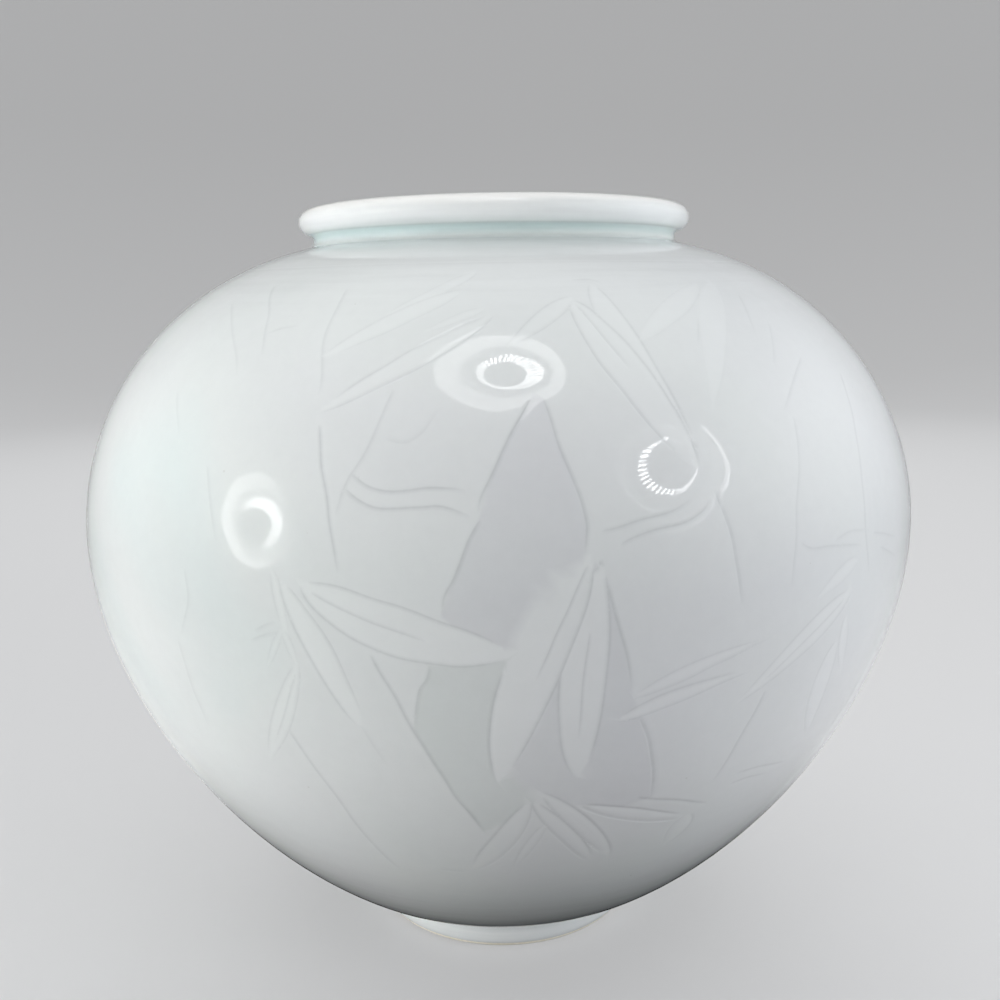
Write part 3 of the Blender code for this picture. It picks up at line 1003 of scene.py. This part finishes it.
def outside_glaze(material):
    """The carved coat: its surface from the foot's edge over the wall, neck and lip, and its underside."""
    cuts, leaves, areas = carving()
    ring = shoulder_line()
    plan, side_count = wall_plan(cuts, ring)
    out = delaunay_2d_cdt([(p.real, p.imag) for p in plan], [], [], 0, 1e-9, False)
    if len(out[0]) != len(plan):
        raise ValueError("the triangulation merged some of the wall's points")
    along = along_at(plan)
    normal, round_way, up = OUTSIDE.directions(plan.real, along)
    depth, slope = unevenness(on_outside(plan), along, normal, up)
    cut_depth, cut_slope, pooled, cast = carve(plan, [*cuts, ring], leaves, areas, round_way, up)
    # The glaze's thickness, which carries the painted shade and light of the bands along the profile
    glaze = pooled + glaze_and_painted_shade(along)
    surface = Surface()
    carved = on_outside(plan, depth + cut_depth)
    wall = surface.add(carved, normal + slope + cut_slope, glaze, cast + teal(along))
    # The plan's right side is its left side again
    same = np.arange(len(plan))
    same[COLUMNS] = 0
    same[2 * COLUMNS + 1] = COLUMNS + 1
    sides = 2 * COLUMNS + 2
    same[sides + side_count : sides + 2 * side_count] = np.arange(sides, sides + side_count)
    surface.faces += [tuple(wall[same[i]] for i in face) for face in out[2]]
    foot_ring, top_ring = wall[:COLUMNS], wall[COLUMNS + 1 : 2 * COLUMNS + 1]
    foot_steps = np.concatenate([np.linspace(0, 1, 8)[:-1] * GLAZE, np.linspace(GLAZE, WALL_FOOT, 12)[:-1]])
    # The foot's face is paled partly by painted light
    first, last = surface.rings(OUTSIDE, foot_steps, outside_depth, glaze=glaze_and_painted_shade(foot_steps))
    surface.faces += strip(last, foot_ring)
    top_steps = np.linspace(WALL_TOP, OUTSIDE.along[-1], 34)[1:]
    top_looks = {"glaze": glaze_and_painted_shade(top_steps), "cast": teal(top_steps)}
    _, seam = surface.rings(OUTSIDE, top_steps, outside_depth, **top_looks, after=top_ring)
    under_top = np.linspace(WALL_TOP, OUTSIDE.along[-1], 14)[1:]
    under_steps = np.concatenate([np.linspace(0, WALL_TOP, 48)[1:], under_top])
    _, end = surface.rings(OUTSIDE, under_steps, level(GLAZE), outward=-1, after=first)
    surface.faces += strip(seam, end)
    surface.finish("carved_outside_glaze", material, "outer_glaze")


def inside_glaze(material):
    """The coat inside, from the seam on the lip to the floor, and its underside against the clay."""
    surface = Surface()
    end = INSIDE.along[-1] - AXIS_GAP
    steps = np.concatenate([np.linspace(0, 16 * MM, 20), np.linspace(16 * MM, end, 90)[1:]])
    first, last = surface.rings(INSIDE, steps, thrown(INSIDE))
    surface.cap(last, INSIDE.line[-1].imag - WAVE_DEPTH, 1, False)
    first_under, last_under = surface.rings(INSIDE, steps[::3], level(GLAZE), outward=-1)
    surface.cap(last_under, INSIDE.line[-1].imag - GLAZE, -1, True)
    surface.faces += strip(first_under, first)
    surface.finish("inside_glaze_coat", material, "inner_glaze")


def base_glaze(material):
    """The coat in the recess under the foot."""
    surface = Surface()
    steps = np.linspace(AXIS_GAP, BASE.along[-1], 60)
    first, last = surface.rings(BASE, steps, thrown(BASE))
    surface.cap(first, BASE.line[0].imag + WAVE_DEPTH, -1, True)
    first_under, last_under = surface.rings(BASE, steps, level(GLAZE), outward=-1)
    surface.cap(first_under, BASE.line[0].imag + GLAZE, 1, False)
    surface.faces += strip(last, last_under)
    surface.finish("foot_recess_glaze", material, "base_glaze")


def clay_body(material):
    """The fired clay under its coats, bare on the ring that it stands on."""
    surface = Surface()
    inner, outer = FOOT_RADIUS - RING_WIDTH + COAT_DEPTH, FOOT_RADIUS - COAT_DEPTH
    ring = Profile([
        spot(inner, BARE_HEIGHT),
        rounding(complex(inner + BARE_CHAMFER, BARE_CHAMFER), BARE_CHAMFER, math.pi, 1.5 * math.pi),
        rounding(complex(outer - BARE_CHAMFER, BARE_CHAMFER), BARE_CHAMFER, 1.5 * math.pi, FULL_TURN),
        spot(outer, BARE_HEIGHT),
    ])
    _, last = surface.rings(ring, np.linspace(0, ring.along[-1], 60), level(0.0))
    ring_start = np.arange(COLUMNS)
    under = level(COAT_DEPTH)
    wall_steps = np.concatenate([np.linspace(0, WALL_TOP, 60), np.linspace(WALL_TOP, OUTSIDE.along[-1], 16)[1:]])
    _, last = surface.rings(OUTSIDE, wall_steps[1:], under, after=last)
    end = INSIDE.along[-1] - AXIS_GAP
    _, last = surface.rings(INSIDE, np.linspace(0, end, 70)[1:], under, after=last)
    surface.cap(last, INSIDE.line[-1].imag - COAT_DEPTH, 1, False)
    steps = np.linspace(AXIS_GAP, BASE.along[-1], 20)
    first, last = surface.rings(BASE, steps[:-1], under)
    surface.cap(first, BASE.line[0].imag + COAT_DEPTH, -1, True)
    surface.faces += strip(last, ring_start)
    surface.finish("clay_body", material, "porcelain_body")


class Nodes:
    """A short way to build the nodes of a material or of the world."""

    def __init__(self, name, kind="materials"):
        self.owner = getattr(bpy.data, kind).new(name)
        self.owner.use_nodes = True
        self.tree = self.owner.node_tree
        self.shader = self.tree.nodes.get("Principled BSDF")

    def set(self, socket, value):
        if isinstance(value, bpy.types.NodeSocket):
            self.tree.links.new(value, socket)
        elif isinstance(value, tuple) and len(value) == 3 and socket.type == "RGBA":
            socket.default_value = (*value, 1)
        else:
            socket.default_value = value

    def add(self, kind, settings=None, **inputs):
        node = self.tree.nodes.new(kind)
        for name, value in (settings or {}).items():
            setattr(node, name, value)
        for name, value in inputs.items():
            self.set(node.inputs[name.replace("_", " ")], value)
        return node

    def noise(self, scale, detail=2.0, roughness=0.5, distortion=0.0, at=(0.0, 0.0, 0.0), stretch=(1.0, 1.0, 1.0)):
        place = self.add("ShaderNodeMapping", Location=at, Scale=stretch, Vector=self.coordinates())
        return self.add(
            "ShaderNodeTexNoise",
            Vector=place.outputs["Vector"],
            Scale=scale,
            Detail=detail,
            Roughness=roughness,
            Distortion=distortion,
        ).outputs["Fac"]

    def coordinates(self):
        return self.add("ShaderNodeTexCoord").outputs["Object"]

    def attribute(self, name):
        return self.add("ShaderNodeAttribute", {"attribute_name": name}).outputs["Fac"]

    def fit(self, value, low, high, to_low, to_high, kind="LINEAR"):
        node = self.add("ShaderNodeMapRange", {"interpolation_type": kind})
        self.set(node.inputs["Value"], value)
        for name, number in zip(("From Min", "From Max", "To Min", "To Max"), (low, high, to_low, to_high)):
            node.inputs[name].default_value = number
        return node.outputs["Result"]

    def spread(self, noise, to_low, to_high):
        """A noise's usual values, which lie from 0.3 to 0.7, fitted to others."""
        return self.fit(noise, 0.3, 0.7, to_low, to_high)

    def math(self, operation, first, second):
        node = self.add("ShaderNodeMath", {"operation": operation})
        self.set(node.inputs[0], first)
        self.set(node.inputs[1], second)
        return node.outputs["Value"]

    def mix(self, share, first, second, blend="MIX"):
        node = self.add("ShaderNodeMix", {"data_type": "RGBA", "blend_type": blend})
        self.set(node.inputs[0], share)
        self.set(node.inputs[6], first)
        self.set(node.inputs[7], second)
        return node.outputs[2]

    def ramp(self, value, *stops):
        node = self.add("ShaderNodeValToRGB", Fac=value)
        elements = node.color_ramp.elements
        while len(elements) < len(stops):
            elements.new(0.5)
        for element, (place, color) in zip(elements, stops):
            element.position = place
            element.color = (*color, 1)
        return node.outputs["Color"]

    def bump(self, height, distance, strength=1.0, under=None):
        node = self.add("ShaderNodeBump", Height=height, Distance=distance, Strength=strength)
        if under is not None:
            self.set(node.inputs["Normal"], under)
        return node.outputs["Normal"]


# The glaze's colour by its thickness, before its cast
WARM_GLAZE = (0.93, 0.93, 0.91)
PALE_GLAZE = (0.80, 0.81, 0.81)
EVEN_GLAZE = (0.76, 0.77, 0.77)
DEEP_GLAZE = (0.60, 0.615, 0.62)
THICK_GLAZE = (0.48, 0.51, 0.51)
# What its cast leaves of each colour
TEAL = (0.83, 1.0, 0.985)
GREEN_GREY = (0.95, 1.0, 0.985)
NEUTRAL = (0.965, 1.0, 1.0)
LAVENDER = (0.955, 0.965, 1.0)
PIT = (0.45, 0.46, 0.42)
GLAZE_ROUGHNESS = 0.006, 0.016
GLAZE_IOR = 1.52
TURNED_AT_FOOT = 0.02, 0.075  # the heights over which the streaks of turning fade
TURNED_AT_SHOULDER = 0.235, 0.26
DARK_CLAY = (0.72, 0.69, 0.58)
BARE_CLAY = (0.80, 0.78, 0.68)
LIGHT_CLAY = (0.85, 0.83, 0.75)
TOASTED_CLAY = (0.68, 0.62, 0.46)


def celadon():
    """Pale blue-green glaze: deeper where it pools, warm white where it is thin, clouded, finely pitted, and
    faintly streaked round the foot and shoulder by turning. Its thickness also carries painted shade on the
    belly and the underside and painted light on the lower belly and the foot's face. The fire has given it a
    lavender cast on the side of +X and a green one on the other."""
    n = Nodes("celadon_glaze")
    place = n.add("ShaderNodeSeparateXYZ", Vector=n.coordinates())
    cloud = n.noise(9, 3, 0.5, 0.4)
    fine = n.noise(240, 4, 0.6)
    # The glaze attribute also carries painted shade on the belly and underside and painted light on the lower belly
    # and foot's face
    thickness = n.math("ADD", n.attribute("glaze"), n.spread(cloud, -0.06, 0.06))
    thickness = n.math("ADD", thickness, n.spread(fine, -0.02, 0.02))
    turned = n.noise(420, 3, 0.6, stretch=(0.04, 0.04, 1.0))
    low = n.fit(place.outputs["Z"], *TURNED_AT_FOOT, 1, 0, "SMOOTHSTEP")
    high = n.fit(place.outputs["Z"], *TURNED_AT_SHOULDER, 0, 1, "SMOOTHSTEP")
    streaks = n.math("MULTIPLY", n.fit(turned, 0.35, 0.65, -0.09, 0.09), n.math("MAXIMUM", low, high))
    thickness = n.math("ADD", thickness, streaks)
    cast = n.math("ADD", n.fit(place.outputs["X"], -0.12, 0.12, -0.35, 0.45), n.attribute("cast"))
    cast = n.math("ADD", cast, n.spread(n.noise(7, 2, 0.5, 0.8), -0.35, 0.35))
    tint = n.ramp(n.fit(cast, -1, 1, 0, 1), (0.0, TEAL), (0.3, GREEN_GREY), (0.5, NEUTRAL), (0.85, LAVENDER))
    color = n.ramp(
        n.fit(thickness, -1, 1, 0, 1),
        (0.0, WARM_GLAZE),
        (0.2, WARM_GLAZE),
        (0.42, PALE_GLAZE),
        (0.5, EVEN_GLAZE),
        (0.72, DEEP_GLAZE),
        (1.0, THICK_GLAZE),
    )
    bare = n.fit(thickness, -0.8, -0.2, 0.2, 1.0)
    color = n.mix(bare, color, tint, "MULTIPLY")
    pits = n.add("ShaderNodeTexVoronoi", Scale=60.0, Vector=n.coordinates()).outputs["Distance"]
    color = n.mix(n.fit(pits, 0.015, 0.025, 0.3, 0.0), color, PIT)
    n.set(n.shader.inputs["Base Color"], color)
    n.set(n.shader.inputs["Roughness"], n.spread(n.noise(30, 3, 0.6, 0.3), *GLAZE_ROUGHNESS))
    n.shader.inputs["IOR"].default_value = GLAZE_IOR
    waves = n.bump(n.noise(110, 2, 0.4, 0.2), 0.0001, 0.16)
    rings = n.bump(turned, 0.00004, 0.2, waves)
    n.set(n.shader.inputs["Normal"], n.bump(n.noise(420, 2, 0.5), 0.00002, 0.2, rings))
    return n.owner


def bare_clay():
    """Fired porcelain without glaze: matt and slightly buff, with grit and toasted patches."""
    n = Nodes("bare_porcelain")
    grain = n.noise(700, 5, 0.65)
    stain = n.noise(60, 3, 0.5, 0.5)
    color = n.ramp(grain, (0.3, DARK_CLAY), (0.55, BARE_CLAY), (0.8, LIGHT_CLAY))
    color = n.mix(n.fit(stain, 0.45, 0.7, 0.0, 0.4), color, TOASTED_CLAY)
    n.set(n.shader.inputs["Base Color"], color)
    n.set(n.shader.inputs["Roughness"], n.fit(grain, 0.2, 0.8, 0.5, 0.75))
    n.set(n.shader.inputs["Normal"], n.bump(grain, 0.0001, 0.5))
    return n.owner


FLOOR_RADIUS = 1.9
COVE_RADIUS = 0.7
COVE_HEIGHT = 1.7
STAGE_SIDES = 96
STAGE_COLOR = (0.36, 0.363, 0.366)
PALE_COLOR = (0.985, 0.99, 1.0)
SEEN_PALENESS, MIRRORED_PALENESS = 0.36, 0.36
# A painted pool of light on the floor beside the vase, and a painted shadow under it, seen only in mirrors
MIRRORED_PAINTED_LIGHT = 0.75  # how pale the vase mirrors the floor beside it
MIRRORED_FLOOR = 0.18, 0.9  # from where to where, out from the vase, that fades to MIRRORED_PALENESS
MIRRORED_SHADOW = 0.08, 0.22  # the vase's shadow in what it mirrors of the floor: its middle and its edge
BOUNCE_COLOR = (0.06, 0.06, 0.06)  # what it throws back on the vase, like the photograph's dark cloth


def paper():
    """The pale floor and backdrop. The camera sees an even paleness of its own on it, beside the light and
    shadow that fall there. Mirrors see only a paleness of its own: a painted shadow under the vase, a painted
    pool of light beside it and a dimmer paleness further out. It throws little light back on the vase."""
    n = Nodes("studio_paper")
    rays = n.add("ShaderNodeLightPath").outputs
    seen = rays["Is Camera Ray"]
    mirrored = n.math("MAXIMUM", rays["Is Glossy Ray"], rays["Is Transmission Ray"])
    color = n.mix(mirrored, n.mix(seen, BOUNCE_COLOR, STAGE_COLOR), (0, 0, 0))
    n.set(n.shader.inputs["Base Color"], color)
    n.shader.inputs["Emission Color"].default_value = (*PALE_COLOR, 1)
    away = n.add("ShaderNodeVectorMath", {"operation": "LENGTH"}, Vector=n.coordinates()).outputs["Value"]
    # Painted light beside the vase in mirrors, then its painted shadow under it
    beyond = n.fit(away, *MIRRORED_FLOOR, MIRRORED_PAINTED_LIGHT, MIRRORED_PALENESS, "SMOOTHSTEP")
    shaded = n.math("MULTIPLY", beyond, n.fit(away, *MIRRORED_SHADOW, 0.0, 1.0, "SMOOTHSTEP"))
    own = n.math("ADD", n.math("MULTIPLY", seen, SEEN_PALENESS), n.math("MULTIPLY", mirrored, shaded))
    n.set(n.shader.inputs["Emission Strength"], own)
    n.shader.inputs["Roughness"].default_value = 0.8
    n.shader.inputs["Specular IOR Level"].default_value = 0.0
    return n.owner


def stage():
    """A round floor that curves up into a wall on every side, open above."""
    outline = [0j, FLOOR_RADIUS * 0.3 + 0j, FLOOR_RADIUS + 0j]
    outline += list(arc(FLOOR_RADIUS + COVE_RADIUS * 1j, COVE_RADIUS, COVE_RADIUS, -math.pi / 2, 0, 14))[1:]
    outline.append(FLOOR_RADIUS + COVE_RADIUS + COVE_HEIGHT * 1j)
    count = STAGE_SIDES
    angles = FULL_TURN * np.arange(count) / count
    points = [(0.0, 0.0, 0.0)]
    faces = []
    for k, place in enumerate(outline[1:]):
        points += [(place.real * math.cos(a), place.real * math.sin(a), place.imag) for a in angles]
        ring = 1 + k * count
        for i in range(count):
            j = (i + 1) % count
            if k == 0:
                faces.append((0, ring + i, ring + j))
            else:
                faces.append((ring - count + i, ring + i, ring + j, ring - count + j))
    mesh = mesh_of("studio_floor", points, faces, paper())
    mesh.shade_smooth()
    made = placed("studio_floor", mesh)


def camera():
    data = bpy.data.cameras.new("photo_camera")
    data.sensor_width = SENSOR_MM
    data.lens = FOCAL_PIXELS / PHOTO_PIXELS * SENSOR_MM
    data.clip_start = 0.01
    made = placed("photo_camera", data)
    made.matrix_world = camera_matrix()
    bpy.context.scene.camera = made


# The light from above: its strength toward the front, where the photographer stands, toward the back, and how
# much more it is overhead
SKY_FRONT, SKY_BACK, SKY_OVERHEAD = 0.1, 1.15, 0.5
SKY_TURNS = -0.5, 0.5  # from front to back, as Y of the way to the sky
SKY_RISES, MIRRORED_SKY_RISES = (0.5, 1), (0.6, 1)  # up to overhead, as Z of that way
SKY_COLOR = (0.985, 0.99, 1.0)
MIRRORED_SKY = 1.5  # the sky that the vase mirrors overhead, which fades down to the backdrop's paleness
# Each soft box: its angle in degrees, less than 0 to the left of the front, its distance, height, width and
# tallness, its colour, how bright it is where it lights the vase, and how bright where the vase mirrors it
SOFT_BOXES = {
    "left": (-84, 1.5, 0.75, 2.8, 1.9, (1.0, 1.0, 0.98), 0.0, 0.5),
    "right": (88, 1.5, 0.77, 2.8, 1.9, (0.97, 0.985, 1.0), 0.0, 0.6),
    "near_left": (-60, 1.3, 0.5, 1.4, 0.8, (1.0, 1.0, 1.0), 3.0, 0.0),
    "near_right": (60, 1.3, 0.5, 1.4, 0.8, (1.0, 0.99, 1.0), 8.0, 0.0),
    "front": (-10, 1.2, 0.2, 1.2, 0.4, (1.0, 1.0, 1.0), 5.0, 0.0),
    "high_front": (40, 1.2, 0.75, 1.0, 0.3, (1.0, 1.0, 1.0), 2.0, 0.0),
    "low_left": (-70, 1.3, 0.15, 1.6, 0.3, (1.0, 0.97, 0.965), 38.0, 0.0),
    "low_right": (85, 1.3, 0.15, 1.6, 0.3, (0.96, 0.98, 1.0), 20.0, 0.0),
    "behind": (180, 1.5, 0.95, 2.4, 0.8, (1.0, 1.0, 1.0), 4.0, 0.0),
}
SOFT_BOX_TARGET = (0, 0, 0.13)
LOW = 0.25  # a lamp lower than this spares the floor
LAMP_DISTANCE = 1.0
LAMP_BEADS = 36
BEAD_COLUMNS = (0.0, 1.0, 1.0, 0.0)  # how bright a bead is across its width
BEAD_LIGHT = 13.0
BEAD_FADE = -0.4, 0.3  # the beads fade out between these, as cosines of the way from the brightest
BEAD_ROWS = 0.12, 0.88  # where the beads start and end from the hole out to the ring
DIFFUSER_ROWS = 0.3, 0.45, 0.84, 0.9  # where the diffuser's brightness changes from the ring out to its edge
LAMP_EDGE = 0.7  # pixels over which a lamp's edge fades
# Three ring lamps, drawn by where the vase mirrors them in the photograph, in its pixels: the outline of each
# lamp's diffuser; its ring of beads, and the hole in that, as (middle, half width, half height); and the ways,
# in degrees clockwise from the right, where its beads are brightest and where its diffuser is. Its strengths
# are the diffuser's beside the ring, further out and at its rim; dim is what share of them its dim side has;
# and thread is how bright the ring is where its beads aren't seen.
RingLamp = namedtuple("RingLamp", "outline ring hole bright_beads bright_diffuser strengths dim thread")
RING_LAMPS = {
    "upper": RingLamp(
        [(433, 371), (442, 353), (458, 343), (500, 335), (542, 343), (564, 367), (560, 391), (545, 400), (521, 405)]
        + [(494, 412), (468, 404), (441, 391)],
        ((511, 373), 34, 18),
        ((505.5, 375.5), 20, 11.5),
        bright_beads=-60, bright_diffuser=-20, strengths=(0.6, 2.6, 3.0), dim=0.85, thread=5.0,
    ),
    "right": RingLamp(
        [(618, 461), (625, 441), (634, 434), (649, 427), (664, 425), (676, 428), (689, 439), (693, 430), (701, 425)]
        + [(712, 434), (721, 446), (728, 459), (731, 472), (729, 487), (721, 491), (714, 503), (702, 518), (688, 524)]
        + [(672, 528), (661, 515), (646, 510), (634, 500), (624, 489), (619, 477)],
        ((667.7, 467.4), 30.7, 28.6),
        ((671.8, 464.8), 24.5, 23.8),
        bright_beads=165, bright_diffuser=30, strengths=(0.3, 0.6, 3.0), dim=0.6, thread=5.5,
    ),
    "left": RingLamp(
        [(221, 523), (223, 508), (233, 483), (242, 476), (254, 473), (264, 474), (274, 479), (284, 500), (289, 535)]
        + [(288, 550), (274, 563), (255, 569), (236, 558), (231, 548)],
        ((260, 523), 23.7, 26),
        ((253.8, 526), 17, 18.3),
        bright_beads=-30, bright_diffuser=165, strengths=(1.2, 3.0, 3.6), dim=0.45, thread=1.5,
    ),
}


def glow(name, color=(1, 1, 1), size=None):
    """Light added to what lies behind it, from its front alone. It is as strong as each point's attribute
    says, or, on a face of a given size, fades out softly from the middle."""
    n = Nodes(name)
    n.tree.nodes.remove(n.shader)
    power = n.math("SUBTRACT", 1.0, n.add("ShaderNodeNewGeometry").outputs["Backfacing"])
    power = n.math("MULTIPLY", power, n.attribute("glow"))
    if size is not None:
        place = n.add("ShaderNodeSeparateXYZ", Vector=n.coordinates())
        for axis, length in zip("XY", size):
            away = n.math("ABSOLUTE", place.outputs[axis], 0.0)
            power = n.math("MULTIPLY", power, n.fit(away, 0, length / 2, 1, 0, "SMOOTHSTEP"))
    shine = n.add("ShaderNodeEmission", Color=(*color, 1), Strength=power)
    clear = n.add("ShaderNodeBsdfTransparent")
    both = n.add("ShaderNodeAddShader")
    n.set(both.inputs[0], shine.outputs[0])
    n.set(both.inputs[1], clear.outputs[0])
    n.set(n.tree.nodes["Material Output"].inputs["Surface"], both.outputs[0])
    return n.owner


def glowing(name, place, material, points, faces, strengths, lights):
    """A flat mesh that glows, by the strength at each of its points. It lights things or is mirrored in
    them, and the camera doesn't see it."""
    mesh = mesh_of(name, [(x, y, 0.0) for x, y in points], faces, material)
    give(mesh, "glow", strengths)
    made = placed(name, mesh)
    made.matrix_world = place
    made.visible_camera = False
    made.visible_shadow = False
    made.visible_diffuse = lights
    made.visible_glossy = not lights
    return made


def spare_floor(lamp):
    """A low lamp lights the vase and not the floor in front of it."""
    spared = bpy.data.collections.new(f"{lamp.name}_spares")
    spared.objects.link(bpy.data.objects["studio_floor"])
    spared.collection_objects[0].light_linking.link_state = "EXCLUDE"
    lamp.light_linking.receiver_collection = spared


def facing(place, way):
    """A place whose +Z faces a way."""
    return Matrix.Translation(place) @ Vector(way).to_track_quat("Z", "Y").to_matrix().to_4x4()


def soft_box(name, degrees, distance, height, width, tall, color, lights, mirrored):
    angle = math.radians(degrees) - math.pi / 2
    place = Vector((distance * math.cos(angle), distance * math.sin(angle), height))
    x, y = width / 2, tall / 2
    material = glow(f"{name}_soft_box", color, (width, tall))
    points = [(-x, -y), (x, -y), (x, y), (-x, y)]
    turned = facing(place, Vector(SOFT_BOX_TARGET) - place)
    for part, strength in (("light", lights), ("shine", mirrored)):
        if strength > 0:
            box = f"{name}_soft_box_{part}"
            lamp = glowing(box, turned, material, points, [(0, 1, 2, 3)], [strength] * 4, part == "light")
            if part == "light" and height < LOW:
                spare_floor(lamp)


def mirrored(pixels):
    """Where the camera's rays through these pixels meet the wall, and the ways in which it mirrors them."""
    angle, along = seen_at(pixels)
    points = OUTSIDE.points(angle, along)
    normals = OUTSIDE.directions(angle, along)[0]
    views = unit(points - np.array(camera_matrix().translation))
    return points, views - 2 * np.sum(views * normals, 1, keepdims=True) * normals


def oval(middle, width, height, turns):
    return complex(*middle) + width * np.cos(turns) + 1j * height * np.sin(turns)


def ring_lamp(name, lamp):
    """A ring of beads in a round diffuser, which is brightest at its rim. The vase mirrors it."""
    columns = len(BEAD_COLUMNS) * LAMP_BEADS
    turns = FULL_TURN * np.arange(columns) / columns
    ring, hole = oval(*lamp.ring, turns), oval(*lamp.hole, turns)
    middle = complex(*lamp.ring[0])
    corners = [complex(*corner) for corner in lamp.outline]
    outline = through([*corners, corners[0]], 8) - middle
    way = (ring - middle) / np.abs(ring - middle)
    edge = middle + way * np.interp(np.angle(way), np.angle(outline), np.abs(outline), period=FULL_TURN)
    near_beads = np.interp(np.cos(turns - math.radians(lamp.bright_beads)), BEAD_FADE, (0, 1))
    beads = lamp.thread * (1 - near_beads) + BEAD_LIGHT * near_beads * np.tile(BEAD_COLUMNS, LAMP_BEADS)
    near = (0.5 + 0.5 * np.cos(turns - math.radians(lamp.bright_diffuser))) * (1 - lamp.dim) + lamp.dim
    beside, further, rim = (strength * near for strength in lamp.strengths)
    rows = [(hole, 0 * turns)]
    rows += [(hole + (ring - hole) * share, beads) for share in BEAD_ROWS]
    rows.append((ring, beside))
    glows = (beside, further, further, rim)
    rows += [(ring + (edge - ring) * share, strength) for share, strength in zip(DIFFUSER_ROWS, glows)]
    rows += [(edge, rim), (edge + way * LAMP_EDGE, 0 * turns)]
    pixels = np.concatenate([row for row, _ in rows])
    points, ways = mirrored(np.stack([pixels.real, pixels.imag], -1))
    point, toward = (Vector(found[0]) for found in mirrored([lamp.ring[0]]))
    place = facing(point + toward * LAMP_DISTANCE, -toward)
    plane_point, normal = np.array(place.translation), np.array(toward)
    reach = ((plane_point - points) @ normal) / (ways @ normal)
    met = points + ways * reach[:, None]
    turn_back = np.array(place.inverted())
    flat = met @ turn_back[:3, :3].T + turn_back[:3, 3]
    faces = []
    for k in range(len(rows) - 1):
        faces += strip(range(k * columns, (k + 1) * columns), range((k + 1) * columns, (k + 2) * columns))
    if (flat[:, 0] @ np.roll(flat[:, 1], -1) - flat[:, 1] @ np.roll(flat[:, 0], -1)) > 0:
        faces = [face[::-1] for face in faces]
    strengths = np.concatenate([strength for _, strength in rows])
    glowing(f"{name}_ring_lamp", place, glow(f"{name}_ring_lamp"), flat[:, :2], faces, strengths, False)


def sky():
    """A soft light from above, stronger overhead and at the back. In mirrors it runs into the backdrop."""
    n = Nodes("studio", "worlds")
    way = n.add("ShaderNodeSeparateXYZ", Vector=n.add("ShaderNodeTexCoord").outputs["Generated"]).outputs
    to_back = n.fit(way["Y"], *SKY_TURNS, SKY_FRONT, SKY_BACK, "SMOOTHSTEP")
    lights = n.math("ADD", to_back, n.fit(way["Z"], *SKY_RISES, 0, SKY_OVERHEAD, "SMOOTHSTEP"))
    shines = n.fit(way["Z"], *MIRRORED_SKY_RISES, MIRRORED_PALENESS, MIRRORED_SKY, "SMOOTHSTEP")
    glossy = n.add("ShaderNodeLightPath").outputs["Is Glossy Ray"]
    background = n.tree.nodes["Background"].inputs
    n.set(background["Color"], SKY_COLOR)
    n.set(background["Strength"], n.add("ShaderNodeMix", Factor=glossy, A=lights, B=shines).outputs["Result"])
    bpy.context.scene.world = n.owner


def light():
    sky()
    for name, box in SOFT_BOXES.items():
        soft_box(name, *box)
    for name, lamp in RING_LAMPS.items():
        ring_lamp(name, lamp)


camera()
stage()
light()
GLAZE_MATERIAL = celadon()
outside_glaze(GLAZE_MATERIAL)
inside_glaze(GLAZE_MATERIAL)
base_glaze(GLAZE_MATERIAL)
clay_body(bare_clay())
bpy.context.scene.view_settings.view_transform = "Standard"
bpy.context.view_layer.update()
